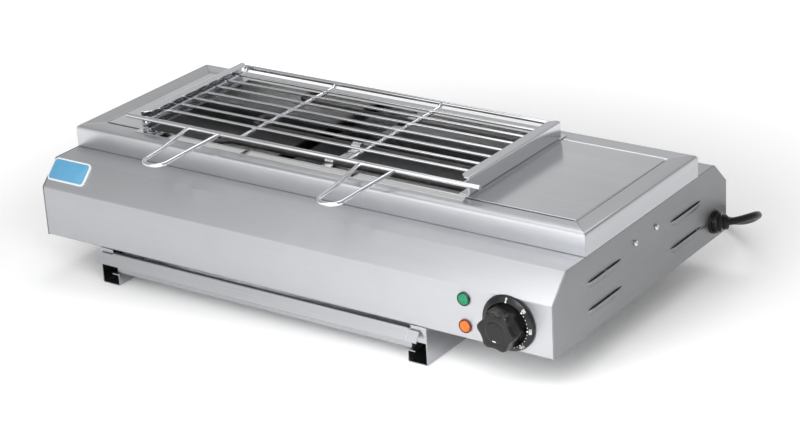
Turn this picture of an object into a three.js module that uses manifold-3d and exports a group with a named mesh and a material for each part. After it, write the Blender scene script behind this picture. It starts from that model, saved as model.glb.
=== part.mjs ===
// A countertop electric grill: a folded steel casing on two leg runners, with a
// rod grate that slides on two rails over a pair of tubular heaters, a drip tray
// that slides between the legs, and a thermostat knob with two lamps.
// Millimetres, +Z up, front towards -Y, legs standing on Z = 0.

import * as THREE from 'three';
import { mergeVertices } from 'three/addons/utils/BufferGeometryUtils.js';
import Module from 'manifold-3d';

// Casing
const bodyLength = 690;
const bodyDepth = 374;
const legHeight = 45;
const frontHeight = 60; // upright part of the front and rear panels
const slopeSize = 27.5; // the 45 degree slope above it
const sheet = 1.2; // folded steel
const bend = 1; // inside radius of a fold
const gap = 0.3; // between pieces that touch
const returnFlange = 16; // turned in under the casing
const panelTuck = 16; // how far the shelf runs on under the raised frame
const stiffener = 12; // the panel's last fold, turned down
const centreShift = 14.5; // puts the middle of the whole object over the origin

// Raised frame and deck
const frameHeight = 26;
const frameSetback = 38.5; // from the top of the slope to the frame's face
const stripWidth = 26.5;
const frameBend = 2.8;
const deckFold = 8; // how far the frame's and the deck's inner edges turn down

// Grill bay, between the outer faces of the two rails
const bayLeft = -266;
const bayRight = 188;
const railDepth = 187;
const railWidth = 13;
const railTop = 180.5;
const cornerSnip = 7;
const linerSheet = 1;
const linerLip = 12; // how far the liner's lip lies on the front and rear strips

// Grate
const grateRodZ = 174.2;
const endRodRadius = 2.75;
const wireRadius = 1.75;
const crossbarRadius = 2.5;
const wireCount = 7;
const wireStep = 22.4;
const firstWireY = 70.5;
const frontRodY = -98;
const rearRodY = 97;
const handleSpread = 45; // between a handle's two ends
const handleReach = -194.5;
const handleCentres = { left_handle: -168, right_handle: 73 };

// Heaters
const heaterRadius = 3.4;
const heaterZ = 133;
const heaterInnerY = 26;
const heaterOuterY = 67.5;
const heaterLeftEnd = -204;
const heaterRightEnd = 203;
const clampX = -45;

// Legs and drip tray
const legWidth = 25.5;
const legInnerHeight = 14.5;
const legFlange = 10;
const legFrontY = -186;
const traySheet = 1;
const trayLeft = -244.5;
const trayRight = 166.5;
const trayFrontY = -183;
const trayRim = 40.4;
const lipLeft = -265;
const lipRight = 180;

// Controls
const knobX = 293;
const knobZ = 76.2;
const skirtRadius = 31.3;
const gripLobes = 6;
const gripRadius = 21.2;
const lobeDepth = 1.8;
const lobeTurn = 174; // degrees from +X to the first lobe
const knobFaceY = -215;
const shaftRadius = 3;
const shaftReach = 16; // in front of the panel
const lampRadius = 7.7;
const lampBodyRadius = 5.4; // the part of a lens that goes through the panel
const lampBodyLength = 6;
const lamps = {
  green_lamp: { x: 238.4, z: 90.3, colour: 0x1f9d6b },
  orange_lamp: { x: 239, z: 59.7, colour: 0xe67a2a },
};

// Louvres and screws on the end panels
const louvreLength = 71;
const louvreTaper = 15; // over which each end runs out to a point
const louvreDrop = 8.7;
const louvreSwell = 2.2;
const louvreSheet = 0.9; // the steel is drawn thinner there
const louvreCentresY = [-84.5, 91];
const louvreSlitsZ = [103.2, 71.8];
const endScrews = { front: [-20.7, 109.4], rear: [24.5, 110.3] };

// Supply cord
const cordDiameter = 8.4;
const glandY = 159;
const glandZ = 64.8;
const glandHoleRadius = 8.5;
const neckLean = 45; // degrees that the gland's neck leans to the rear
const coilCentre = [165, 264];
const coilMiddleRadius = 46;
const turnsPerLayer = 2.5;
const tieStrap = 0.8;
const coilSteps = 24; // a turn
const coilSides = 6;
const turnGap = 0.6;

// Levels and edges that follow
const casingTop = legHeight + frontHeight;
const shelfZ = casingTop + slopeSize;
const deckZ = shelfZ + frameHeight;
const halfLength = bodyLength / 2;
const halfDepth = bodyDepth / 2;
const frameY = halfDepth - slopeSize - frameSetback;
const innerY = frameY - stripWidth;
const innerX = halfLength - stripWidth;
const wellLeft = bayLeft + railWidth;
const wellRight = bayRight - railWidth;
const railBase = deckZ + linerSheet + gap;
const glandExit = new THREE.Vector3(halfLength + 12.5, glandY + 7, glandZ);

const wasm = await Module();
wasm.setup();

const finishes = {
  brushed: { color: 0xc9cbcf, roughness: 0.34, metalness: 1 },
  polished: { color: 0xd6d9de, roughness: 0.12, metalness: 1 },
  chrome: { color: 0xe2e4e8, roughness: 0.08, metalness: 1 },
  heater: { color: 0x4b4a4c, roughness: 0.5, metalness: 0.8 },
  black: { color: 0x17181a, roughness: 0.45, metalness: 0 },
  rubber: { color: 0x141414, roughness: 0.75, metalness: 0 },
  ceramic: { color: 0xe8e2d4, roughness: 0.5, metalness: 0 },
};

const grill = new THREE.Group();
const casing = new THREE.Group();
casing.position.set(0, centreShift, 0);
grill.add(casing);

// Solids from three.js geometry, joined and cut.

function toSolid(geometry) {
  const plain = geometry.index ? geometry.toNonIndexed() : geometry.clone();
  plain.deleteAttribute('normal');
  plain.deleteAttribute('uv');
  const merged = mergeVertices(plain, 1e-4);
  return new wasm.Manifold(new wasm.Mesh({
    numProp: 3,
    vertProperties: new Float32Array(merged.attributes.position.array),
    triVerts: new Uint32Array(merged.index.array),
  }));
}

function toGeometry(solid) {
  const mesh = solid.getMesh();
  const geometry = new THREE.BufferGeometry();
  geometry.setAttribute('position', new THREE.BufferAttribute(mesh.vertProperties, 3));
  geometry.setIndex(new THREE.BufferAttribute(mesh.triVerts, 1));
  return geometry;
}

function join(...pieces) {
  return pieces.reduce((whole, piece) => whole.add(piece));
}

function cut(whole, ...tools) {
  return tools.reduce((rest, tool) => rest.subtract(tool), whole);
}

function addPiece(name, solid, finish) {
  const material = new THREE.MeshStandardMaterial(finish);
  const mesh = new THREE.Mesh(toGeometry(solid), material);
  mesh.name = name;
  casing.add(mesh);
}

// Basic forms, each placed where it belongs.

function block(x0, x1, y0, y1, z0, z1) {
  const geometry = new THREE.BoxGeometry(x1 - x0, y1 - y0, z1 - z0);
  geometry.translate((x0 + x1) / 2, (y0 + y1) / 2, (z0 + z1) / 2);
  return toSolid(geometry);
}

function rod(start, end, radius, sides = 8) {
  const from = new THREE.Vector3(...start);
  const way = new THREE.Vector3(...end).sub(from);
  const geometry = new THREE.CylinderGeometry(radius, radius, way.length(), sides);
  const turn = new THREE.Quaternion().setFromUnitVectors(
    new THREE.Vector3(0, 1, 0),
    way.clone().normalize(),
  );
  geometry.applyQuaternion(turn);
  const middle = from.addScaledVector(way, 0.5);
  geometry.translate(middle.x, middle.y, middle.z);
  return toSolid(geometry);
}

// Turns a profile of [radius, distance] about an axis through `place`.
function turned(profile, place, axis, segments) {
  const points = profile.map(([radius, along]) => new THREE.Vector2(radius, along));
  const geometry = new THREE.LatheGeometry(points, segments);
  const up = new THREE.Vector3(0, 1, 0);
  geometry.applyQuaternion(new THREE.Quaternion().setFromUnitVectors(up, axis));
  geometry.translate(...place);
  return toSolid(geometry);
}

const towardsFront = new THREE.Vector3(0, -1, 0);
const towardsRight = new THREE.Vector3(1, 0, 0);
const towardsLeft = new THREE.Vector3(-1, 0, 0);

function extrude(outline, length) {
  return new THREE.ExtrudeGeometry(new THREE.Shape(outline), {
    depth: length,
    bevelEnabled: false,
  });
}

function toPoints(pairs) {
  return pairs.map(([u, v]) => new THREE.Vector2(u, v));
}

function ordered(first, second) {
  return [Math.min(first, second), Math.max(first, second)];
}

// An outline in (Y, Z) carried along X.
function alongX(outline, x0, x1) {
  const geometry = extrude(outline, x1 - x0);
  geometry.applyMatrix4(new THREE.Matrix4().set(0, 0, 1, x0, 1, 0, 0, 0, 0, 1, 0, 0, 0, 0, 0, 1));
  return toSolid(geometry);
}

// An outline in (X, Z) carried along Y.
function alongY(outline, y0, y1) {
  const geometry = extrude(outline, y1 - y0);
  geometry.applyMatrix4(new THREE.Matrix4().set(1, 0, 0, 0, 0, 0, -1, y1, 0, 1, 0, 0, 0, 0, 0, 1));
  return toSolid(geometry);
}

// An outline in (X, Y) carried up Z.
function alongZ(outline, z0, z1) {
  const geometry = extrude(outline, z1 - z0);
  geometry.translate(0, 0, z0);
  return toSolid(geometry);
}

// The cross-section of a folded sheet. `pairs` runs along one face of it, and the
// thickness lies to the right of that run, or to its left where it is negative.
function foldedOutline(pairs, thickness = sheet, inside = bend) {
  const face = [];
  const back = [];
  const points = toPoints(pairs);
  const amount = Math.abs(thickness);
  const side = Math.sign(thickness);
  const normalOf = (way) => new THREE.Vector2(way.y, -way.x).multiplyScalar(side);
  points.forEach((point, index) => {
    const into = index > 0 ? point.clone().sub(points[index - 1]).normalize() : null;
    const out = index < points.length - 1 ? points[index + 1].clone().sub(point).normalize() : null;
    if (!into || !out) {
      face.push(point);
      back.push(point.clone().addScaledVector(normalOf(into || out), amount));
      return;
    }
    const turn = Math.atan2(into.cross(out), into.dot(out)) * -side;
    const faceRadius = turn > 0 ? inside + amount : inside;
    const backRadius = turn > 0 ? inside : inside + amount;
    const setback = faceRadius * Math.tan(Math.abs(turn) / 2);
    const start = point.clone().addScaledVector(into, -setback);
    const towardsCentre = normalOf(into).multiplyScalar(Math.sign(turn));
    const centre = start.clone().addScaledVector(towardsCentre, faceRadius);
    const steps = Math.max(2, Math.round(Math.abs(turn) / (Math.PI / 6)));
    for (let step = 0; step <= steps; step += 1) {
      const angle = (-side * turn * step) / steps;
      const spoke = towardsCentre.clone().negate().rotateAround(new THREE.Vector2(), angle);
      face.push(centre.clone().addScaledVector(spoke, faceRadius));
      back.push(centre.clone().addScaledVector(spoke, backRadius));
    }
  });
  return [...face, ...back.reverse()];
}

// A path that the sweep follows with one step at each listed point.
class ListedPath extends THREE.Curve {
  constructor(points) {
    super();
    this.points = points;
  }

  getPoint(t) {
    const place = t * (this.points.length - 1);
    const index = Math.min(Math.floor(place + 1e-9), this.points.length - 2);
    return this.points[index].clone().lerp(this.points[index + 1], place - index);
  }

  getPointAt(u) {
    return this.getPoint(u);
  }

  getTangentAt(u) {
    const last = this.points.length - 1;
    const index = Math.round(u * last);
    const tangent = new THREE.Vector3();
    if (index > 0) {
      tangent.add(this.points[index].clone().sub(this.points[index - 1]).normalize());
    }
    if (index < last) {
      tangent.add(this.points[index + 1].clone().sub(this.points[index]).normalize());
    }
    return tangent.normalize();
  }
}

function circlePoints(radius, sides) {
  return Array.from({ length: sides }, (_, index) => {
    const angle = ((index + 0.5) / sides) * Math.PI * 2;
    return new THREE.Vector2(radius * Math.cos(angle), radius * Math.sin(angle));
  });
}

function sweep(points, radius, sides) {
  const geometry = new THREE.ExtrudeGeometry(new THREE.Shape(circlePoints(radius, sides)), {
    steps: points.length - 1,
    extrudePath: new ListedPath(points),
    bevelEnabled: false,
  });
  return toSolid(geometry);
}

// Rounds the corners of a 3-D polyline with arcs of `steps` pieces.
function roundedPath(corners, radius, steps) {
  const path = [corners[0]];
  for (let index = 1; index < corners.length - 1; index += 1) {
    const corner = corners[index];
    const back = corners[index - 1].clone().sub(corner).normalize();
    const ahead = corners[index + 1].clone().sub(corner).normalize();
    const halfAngle = back.angleTo(ahead) / 2;
    const setback = radius / Math.tan(halfAngle);
    const bisector = back.clone().add(ahead).normalize();
    const centre = corner.clone().addScaledVector(bisector, radius / Math.sin(halfAngle));
    const first = corner.clone().addScaledVector(back, setback).sub(centre);
    const last = corner.clone().addScaledVector(ahead, setback).sub(centre);
    const sweepAngle = first.angleTo(last);
    for (let step = 0; step <= steps; step += 1) {
      const part = step / steps;
      const spoke = first.clone().multiplyScalar(Math.sin((1 - part) * sweepAngle));
      spoke.addScaledVector(last, Math.sin(part * sweepAngle));
      spoke.divideScalar(Math.sin(sweepAngle));
      path.push(centre.clone().add(spoke));
    }
  }
  path.push(corners[corners.length - 1]);
  return path;
}

// Front and rear panels: one folded sheet each, the rear one a mirror image.
function casingPanel(side) {
  const pairs = [
    [halfDepth - returnFlange, legHeight],
    [halfDepth, legHeight],
    [halfDepth, casingTop],
    [halfDepth - slopeSize, shelfZ],
    [frameY - panelTuck, shelfZ],
    [frameY - panelTuck, shelfZ - stiffener],
  ];
  const outline = foldedOutline(pairs.map(([y, z]) => [side * y, z]), -side * sheet);
  const inset = sheet + gap;
  return alongX(outline, -halfLength + inset, halfLength - inset);
}

function frontPanel() {
  const holeLength = 10;
  const hole = (x, z, radius) => rod(
    [x, -halfDepth - holeLength / 2, z],
    [x, -halfDepth + holeLength / 2, z],
    radius,
    16,
  );
  const shaftHole = hole(knobX, knobZ, shaftRadius + 1.2);
  const lampHoles = Object.values(lamps).map(({ x, z }) => hole(x, z, lampBodyRadius + 0.9));
  return cut(casingPanel(-1), shaftHole, ...lampHoles);
}

addPiece('front_panel', frontPanel(), finishes.brushed);
addPiece('rear_panel', casingPanel(1), finishes.brushed);

// End panels: a six-cornered plate with folded edges, four pressed louvres and holes.
// A louvre is half a long oval pressed outwards, open along its upper edge.
function louvreForms(side, centreY, slitZ) {
  const plane = side * (halfLength - sheet);
  const straight = louvreLength - 2 * louvreTaper;
  const oval = (shrink) => {
    const geometry = new THREE.CapsuleGeometry(1, straight / louvreTaper, 5, 20);
    geometry.scale(
      louvreSwell + sheet - shrink,
      louvreTaper * (1 - (2 * shrink) / louvreLength),
      louvreDrop - shrink,
    );
    geometry.translate(plane, centreY, slitZ);
    return toSolid(geometry);
  };
  const reach = louvreLength / 2 + 5;
  const above = block(
    plane - louvreDrop,
    plane + louvreDrop,
    centreY - reach,
    centreY + reach,
    slitZ,
    slitZ + 2 * louvreDrop,
  );
  return { skin: cut(oval(0), above), hollow: cut(oval(louvreSheet), above) };
}

function endPanel(side) {
  const outline = toPoints([
    [-halfDepth, legHeight],
    [halfDepth, legHeight],
    [halfDepth, casingTop],
    [halfDepth - slopeSize, shelfZ],
    [slopeSize - halfDepth, shelfZ],
    [-halfDepth, casingTop],
  ]);
  const flange = 13; // the folded edges' width
  const sideRelief = [legHeight + 6, casingTop - 3]; // where the upright folds start and end
  const footRelief = 20; // from the lower fold's ends to the corners
  const outerFace = side * halfLength;
  const wallX = ordered(outerFace, side * (halfLength - sheet));
  const flangeX = ordered(side * (halfLength - 0.2), side * (halfLength - flange));
  const edge = halfDepth - sheet - gap;
  const foot = edge - footRelief;
  let panel = join(
    alongX(outline, ...wallX),
    block(...flangeX, -edge, -edge + sheet, ...sideRelief),
    block(...flangeX, edge - sheet, edge, ...sideRelief),
    block(...flangeX, -foot, foot, legHeight, legHeight + sheet),
  );
  const outsideX = ordered(side * (halfLength - sheet), side * (halfLength + 2 * louvreSwell));
  const outside = block(...outsideX, -edge, edge, legHeight, shelfZ);
  louvreCentresY.forEach((centreY) => {
    louvreSlitsZ.forEach((slitZ) => {
      const { skin, hollow } = louvreForms(side, centreY, slitZ);
      panel = cut(join(panel, skin.intersect(outside)), hollow);
    });
  });
  const screwHoles = Object.values(endScrews).map(([y, z]) =>
    rod([outerFace - 4, y, z], [outerFace + 4, y, z], 2.2, 12));
  return cut(panel, ...screwHoles);
}

function rightEndPanel() {
  const glandHole = rod(
    [halfLength - 5, glandY, glandZ],
    [halfLength + 5, glandY, glandZ],
    glandHoleRadius,
    16,
  );
  return cut(endPanel(1), glandHole);
}

addPiece('left_end_panel', endPanel(-1), finishes.brushed);
addPiece('right_end_panel', rightEndPanel(), finishes.brushed);

// A pan-head screw with a crossed recess.
function endScrew(side, y, z) {
  const axis = side > 0 ? towardsRight : towardsLeft;
  const shank = 1.8;
  const screw = turned([
    [0, -7],
    [shank, -7],
    [shank, gap],
    [3.2, gap],
    [3, 2.4],
    [2, 3],
    [0, 3.1],
  ], [side * halfLength, y, z], axis, 12);
  const recessX = ordered(side * (halfLength + 2), side * (halfLength + 4));
  const long = 1.7;
  const half = 0.4;
  return cut(
    screw,
    block(...recessX, y - long, y + long, z - half, z + half),
    block(...recessX, y - half, y + half, z - long, z + long),
  );
}

Object.entries(endScrews).forEach(([name, [y, z]]) => {
  addPiece(`left_${name}_screw`, endScrew(-1, y, z), finishes.chrome);
  addPiece(`right_${name}_screw`, endScrew(1, y, z), finishes.chrome);
});

// Raised frame: four folded strips with mitred corners.
function stripOutline(side, outer, inner) {
  const pairs = [
    [outer, shelfZ + gap],
    [outer, deckZ],
    [inner, deckZ],
    [inner, deckZ - deckFold],
  ];
  return foldedOutline(pairs.map(([u, z]) => [side * u, z]), -side * sheet, frameBend);
}

// What a strip keeps between its two mitres, as [along, across] from the middle of
// the frame: `half` is half its length and `outer` the distance to its outer face.
function mitrePlan(half, outer) {
  const end = half - gap / 2;
  const depth = stripWidth + 3;
  return [
    [-end, outer],
    [end, outer],
    [end - depth, outer - depth],
    [depth - end, outer - depth],
  ];
}

function lengthStrip(side) {
  const outline = stripOutline(side, frameY, innerY + gap);
  const plan = mitrePlan(halfLength, frameY).map(([along, across]) => [along, side * across]);
  return alongX(outline, -halfLength, halfLength).intersect(
    alongZ(toPoints(plan), shelfZ, deckZ + 1),
  );
}

function depthStrip(side) {
  const outline = stripOutline(side, halfLength, innerX + gap);
  const plan = mitrePlan(frameY, halfLength).map(([along, across]) => [side * across, along]);
  return alongY(outline, -frameY, frameY).intersect(
    alongZ(toPoints(plan), shelfZ, deckZ + 1),
  );
}

addPiece('front_frame_strip', lengthStrip(-1), finishes.brushed);
addPiece('rear_frame_strip', lengthStrip(1), finishes.brushed);
addPiece('left_frame_strip', depthStrip(-1), finishes.brushed);
addPiece('right_frame_strip', depthStrip(1), finishes.brushed);

// Deck plates: shallow pans let into the frame beside the well.
function deckPlate(fromX, toX) {
  const outline = foldedOutline([
    [fromX, deckZ - deckFold],
    [fromX, deckZ],
    [toX, deckZ],
    [toX, deckZ - deckFold],
  ]);
  return alongY(outline, -innerY + gap, innerY - gap);
}

addPiece('left_deck_plate', deckPlate(-innerX, wellLeft - linerSheet - gap), finishes.polished);
addPiece('right_deck_plate', deckPlate(wellRight + linerSheet + gap, innerX), finishes.polished);

// Well liner: four walls, open below, with a lip that lies on the frame and the deck.
function wellLiner() {
  const wallY = innerY - linerSheet;
  const wallFoot = legHeight + 1.5;
  const lipY = innerY + linerLip;
  const lipZ = deckZ + gap / 2;
  const topZ = lipZ + linerSheet;
  const inside = block(wellLeft, wellRight, -wallY, wallY, wallFoot - 5, topZ + 5);
  const walls = block(
    wellLeft - linerSheet,
    wellRight + linerSheet,
    -innerY,
    innerY,
    wallFoot,
    topZ,
  );
  const lip = block(bayLeft, bayRight, -lipY, lipY, lipZ, topZ);
  const heaterLegs = [-heaterOuterY, -heaterInnerY, heaterInnerY, heaterOuterY];
  const heaterHoles = heaterLegs.map((y) =>
    rod([wellRight - 5, y, heaterZ], [wellRight + 5, y, heaterZ], heaterRadius + gap, 12));
  return cut(join(walls, lip), inside, ...heaterHoles);
}

addPiece('well_liner', wellLiner(), finishes.polished);

// Rails: channels open towards the well, with the top flange snipped at both ends.
function rail(side) {
  const outer = side > 0 ? bayRight : bayLeft;
  const tip = outer - side * railWidth;
  const pairs = [
    [tip, railTop],
    [outer, railTop],
    [outer, railBase],
    [tip, railBase],
  ];
  const channel = alongY(foldedOutline(pairs, side * sheet), -railDepth / 2, railDepth / 2);
  const snips = [-1, 1].map((end) => {
    const y = (end * railDepth) / 2;
    const corner = [
      [tip - side, y + end],
      [tip + side * cornerSnip, y + end],
      [tip + side * cornerSnip, y],
      [tip, y - end * cornerSnip],
      [tip - side, y - end * cornerSnip],
    ];
    return alongZ(toPoints(corner), railTop - 4, railTop + 2);
  });
  return cut(channel, ...snips);
}

// Slide strips: a ledge inside each rail that the grate's end bars run on.
function slideStrip(side) {
  const outer = (side > 0 ? bayRight : bayLeft) - side * (sheet + gap);
  const ledgeZ = grateRodZ - wireRadius - 2 * crossbarRadius - gap;
  const ledgeWidth = 9.5;
  const frontInset = 6;
  const pairs = [
    [outer, railBase + sheet + bend],
    [outer, ledgeZ],
    [outer - side * ledgeWidth, ledgeZ],
  ];
  const outline = foldedOutline(pairs, -side * linerSheet, 0.6);
  return alongY(outline, frontInset - railDepth / 2, railDepth / 2);
}

addPiece('left_rail', rail(-1), finishes.polished);
addPiece('right_rail', rail(1), finishes.polished);
addPiece('left_slide_strip', slideStrip(-1), finishes.brushed);
addPiece('right_slide_strip', slideStrip(1), finishes.brushed);

// Heaters: two hairpins whose ends pass through the well's right wall.
function heater(side) {
  const bendRadius = (heaterOuterY - heaterInnerY) / 2;
  const middleY = side * (heaterOuterY + heaterInnerY) / 2;
  const bendX = heaterLeftEnd + bendRadius;
  const path = [new THREE.Vector3(heaterRightEnd, middleY - bendRadius, heaterZ)];
  const steps = 10;
  for (let step = 0; step <= steps; step += 1) {
    const angle = (Math.PI * step) / steps;
    const x = bendX - bendRadius * Math.sin(angle);
    path.push(new THREE.Vector3(x, middleY - bendRadius * Math.cos(angle), heaterZ));
  }
  path.push(new THREE.Vector3(heaterRightEnd, middleY + bendRadius, heaterZ));
  return sweep(path, heaterRadius, 10);
}

addPiece('front_heater', heater(-1), finishes.heater);
addPiece('rear_heater', heater(1), finishes.heater);

// The bar under the heaters and the two clamps that hold their inner legs to it.
const barTop = heaterZ - heaterRadius - gap;
const barEnd = innerY - linerSheet - gap;

function supportBar() {
  const halfWidth = 7;
  const endFold = 14;
  const barSheet = 2;
  const outline = foldedOutline([
    [-barEnd, barTop - endFold],
    [-barEnd, barTop],
    [barEnd, barTop],
    [barEnd, barTop - endFold],
  ], barSheet);
  return alongX(outline, clampX - halfWidth, clampX + halfWidth);
}

function heaterClamp(side) {
  const y = side * heaterInnerY;
  const strap = 1.5;
  const inner = heaterRadius + gap;
  const outer = inner + strap;
  const foot = outer + 7;
  const seat = barTop + gap;
  const strapX = [clampX - 6, clampX + 6];
  const throughX = [clampX - 9, clampX + 9];
  const tube = ([x0, x1], radius) => rod([x0, y, heaterZ], [x1, y, heaterZ], radius, 16);
  const hump = join(
    tube(strapX, outer),
    block(...strapX, y - outer, y + outer, seat, heaterZ),
    block(...strapX, y - foot, y + foot, seat, seat + strap),
  );
  const hollow = block(...throughX, y - inner, y + inner, seat - outer, heaterZ);
  const below = block(...throughX, y - foot, y + foot, seat - outer, seat);
  return cut(hump, tube(throughX, inner), hollow, below);
}

addPiece('heater_support_bar', supportBar(), finishes.brushed);
addPiece('front_heater_clamp', heaterClamp(-1), finishes.chrome);
addPiece('rear_heater_clamp', heaterClamp(1), finishes.chrome);

// Bottom covers under the two closed ends, with cooling slots.
function bottomCover(fromX, toX) {
  const edgeY = halfDepth - returnFlange - 3;
  const plate = block(fromX, toX, -edgeY, edgeY, legHeight, legHeight + sheet);
  const slotCount = 6;
  const slotMargin = 11.5; // from the plate's sides
  const slotHalf = 2.5;
  const firstY = 40 - edgeY;
  const slotStep = (-2 * firstY) / (slotCount - 1);
  const slots = Array.from({ length: slotCount }, (_, index) => {
    const y = firstY + index * slotStep;
    const tips = [fromX + slotMargin, toX - slotMargin];
    const shape = toPoints([
      [tips[0] + slotHalf, y - slotHalf],
      [tips[1] - slotHalf, y - slotHalf],
      [tips[1], y],
      [tips[1] - slotHalf, y + slotHalf],
      [tips[0] + slotHalf, y + slotHalf],
      [tips[0], y],
    ]);
    return alongZ(shape, legHeight - sheet, legHeight + 2 * sheet);
  });
  return cut(plate, ...slots);
}

addPiece('left_bottom_cover', bottomCover(-330, -270), finishes.brushed);
addPiece('right_bottom_cover', bottomCover(204, 330), finishes.brushed);

// Controls behind the front panel.
function controlPartition() {
  const wallX = 211;
  const halfWidth = 100;
  const edgeFold = 12;
  const footZ = legHeight + 3;
  const topZ = deckZ - 10;
  const outline = foldedOutline([
    [-halfWidth, topZ],
    [-halfWidth, footZ],
    [halfWidth, footZ],
    [halfWidth, topZ],
  ], -sheet);
  return join(
    block(wallX, wallX + sheet, 1 - halfWidth, halfWidth - 1, footZ + 1, topZ),
    alongX(outline, wallX, wallX + edgeFold),
  );
}

function thermostatBody() {
  const plateY = -halfDepth + sheet + gap;
  const plateSheet = 2;
  const housingY = [plateY + plateSheet - 0.2, -halfDepth + 38];
  const [, backY] = housingY;
  const [halfWidth, halfHeight, corner] = [20, 14, 6];
  const plate = alongY(toPoints([
    [knobX - halfWidth, knobZ - halfHeight + corner],
    [knobX - halfWidth + corner, knobZ - halfHeight],
    [knobX + halfWidth - corner, knobZ - halfHeight],
    [knobX + halfWidth, knobZ - halfHeight + corner],
    [knobX + halfWidth, knobZ + halfHeight - corner],
    [knobX + halfWidth - corner, knobZ + halfHeight],
    [knobX - halfWidth + corner, knobZ + halfHeight],
    [knobX - halfWidth, knobZ + halfHeight - corner],
  ]), plateY, plateY + plateSheet);
  const housing = block(knobX - 16, knobX + 16, ...housingY, knobZ - 13, knobZ + 13);
  const step = block(knobX - 11, knobX + 11, backY - 1, backY + 7, knobZ - 9, knobZ + 9);
  const bore = rod([knobX, plateY - 2, knobZ], [knobX, backY - 8, knobZ], shaftRadius + gap, 16);
  return cut(join(plate, housing, step), bore);
}

// Three ways side by side on one base, each with a screw hole over a wire hole.
function terminalBlock() {
  const ways = 3;
  const pitch = 14;
  const cellDepth = 12;
  const [x, y, z] = [300, 108, legHeight + 3];
  const base = block(x - 11, x + 11, y - 4, y + ways * pitch + 2, z, z + 6);
  const cells = Array.from({ length: ways }, (_, index) => {
    const cellY = y + index * pitch;
    const middleY = cellY + cellDepth / 2;
    const screwHole = rod([x, middleY, z + 12], [x, middleY, z + 22], 3, 10);
    const wireHole = rod([x - 9, middleY, z + 10], [x + 9, middleY, z + 10], 2, 8);
    return cut(block(x - 8, x + 8, cellY, cellY + cellDepth, z + 5, z + 20), screwHole, wireHole);
  });
  return join(base, ...cells);
}

addPiece('control_partition', controlPartition(), finishes.brushed);
addPiece('thermostat_body', thermostatBody(), finishes.ceramic);
addPiece('terminal_block', terminalBlock(), finishes.ceramic);

// Lamps: a domed lens in front of the panel and its holder behind.
function lampLens(x, z) {
  const profile = [
    [0, -lampBodyLength],
    [lampBodyRadius, -lampBodyLength],
    [lampBodyRadius, gap],
    [lampRadius, gap],
    [lampRadius, 1.4],
    [lampRadius - 0.8, 2.4],
    [lampRadius - 3, 3.2],
    [0, 3.7],
  ];
  return turned(profile, [x, -halfDepth, z], towardsFront, 24);
}

function lampHolder(x, z) {
  const face = -sheet - gap;
  const mouth = lampBodyRadius + gap;
  const socketEnd = -lampBodyLength - gap;
  const profile = [
    [mouth, face],
    [mouth, socketEnd],
    [0, socketEnd],
    [0, -26],
    [5, -26],
    [5, -20],
    [8, -18],
    [8, -4],
    [9.4, face],
    [mouth, face],
  ];
  return turned(profile, [x, -halfDepth, z], towardsFront, 16);
}

Object.entries(lamps).forEach(([name, { x, z, colour }]) => {
  addPiece(name, lampLens(x, z), { color: colour, roughness: 0.2, metalness: 0 });
  addPiece(`${name}_holder`, lampHolder(x, z), finishes.black);
});

// Knob: a dial skirt and a six-lobed grip on the thermostat's shaft.
function lobedOutline(radius, depth) {
  const count = gripLobes * 8;
  return Array.from({ length: count }, (_, index) => {
    const angle = (index / count) * Math.PI * 2;
    const wave = Math.cos(gripLobes * (angle - THREE.MathUtils.degToRad(lobeTurn)));
    const reach = radius + depth * wave;
    return new THREE.Vector2(knobX + reach * Math.cos(angle), knobZ + reach * Math.sin(angle));
  });
}

function knob() {
  const backY = -halfDepth - 0.8;
  const faceAlong = backY - knobFaceY;
  const wellFloor = 4.6; // the ring-shaped groove between the dial and the grip
  const dish = turned([
    [0, 0],
    [skirtRadius, 0],
    [skirtRadius, 1.6],
    [skirtRadius - 1.2, 3.4],
    [24.6, 6.4],
    [23.4, wellFloor],
    [0, wellFloor],
  ], [knobX, backY, knobZ], towardsFront, 40);
  const bevel = 1.5;
  const gripFoot = backY - 4;
  const body = alongY(lobedOutline(gripRadius, lobeDepth), knobFaceY + bevel, gripFoot);
  const rim = alongY(lobedOutline(gripRadius - bevel, lobeDepth), knobFaceY, gripFoot);
  const capRadius = 12.4;
  const capRise = 1;
  const cap = turned([
    [0, 0],
    [capRadius, 0],
    [capRadius, faceAlong + 0.4],
    [capRadius - 1, faceAlong + capRise],
    [0, faceAlong + capRise],
  ], [knobX, backY, knobZ], towardsFront, 24);
  const bore = rod(
    [knobX, backY + 1, knobZ],
    [knobX, -halfDepth - shaftReach - 1, knobZ],
    shaftRadius + gap,
    16,
  );
  return cut(join(dish, body, rim, cap), bore);
}

function thermostatShaft() {
  const start = [knobX, -halfDepth + 29, knobZ];
  const end = [knobX, -halfDepth - shaftReach, knobZ];
  const flatLength = 12;
  const flatDepth = 1.2;
  const flat = block(
    knobX - shaftRadius - 1,
    knobX + shaftRadius + 1,
    -halfDepth - shaftReach - 1,
    -halfDepth - shaftReach + flatLength,
    knobZ + shaftRadius - flatDepth,
    knobZ + shaftRadius + 1,
  );
  return cut(rod(start, end, shaftRadius, 16), flat);
}

addPiece('thermostat_shaft', thermostatShaft(), finishes.chrome);
addPiece('knob', knob(), finishes.black);

// Leg runners: full-depth channels whose inner flange carries the tray.
function legRunner(side) {
  const outer = side > 0 ? bayRight : bayLeft;
  const inner = outer - side * legWidth;
  const topZ = legHeight - gap;
  const topFlange = 11;
  const pairs = [
    [outer - side * topFlange, topZ],
    [outer, topZ],
    [outer, 0],
    [inner, 0],
    [inner, legInnerHeight],
    [inner + side * legFlange, legInnerHeight],
  ];
  const channel = alongY(foldedOutline(pairs, side * sheet), legFrontY, -legFrontY);
  const tabFoot = 26; // a tab closes the channel's upper front
  const tabX = ordered(outer - side * 20, outer - side * 0.5);
  const tab = block(...tabX, legFrontY, legFrontY + sheet, tabFoot, topZ - 0.2);
  return join(channel, tab);
}

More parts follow.
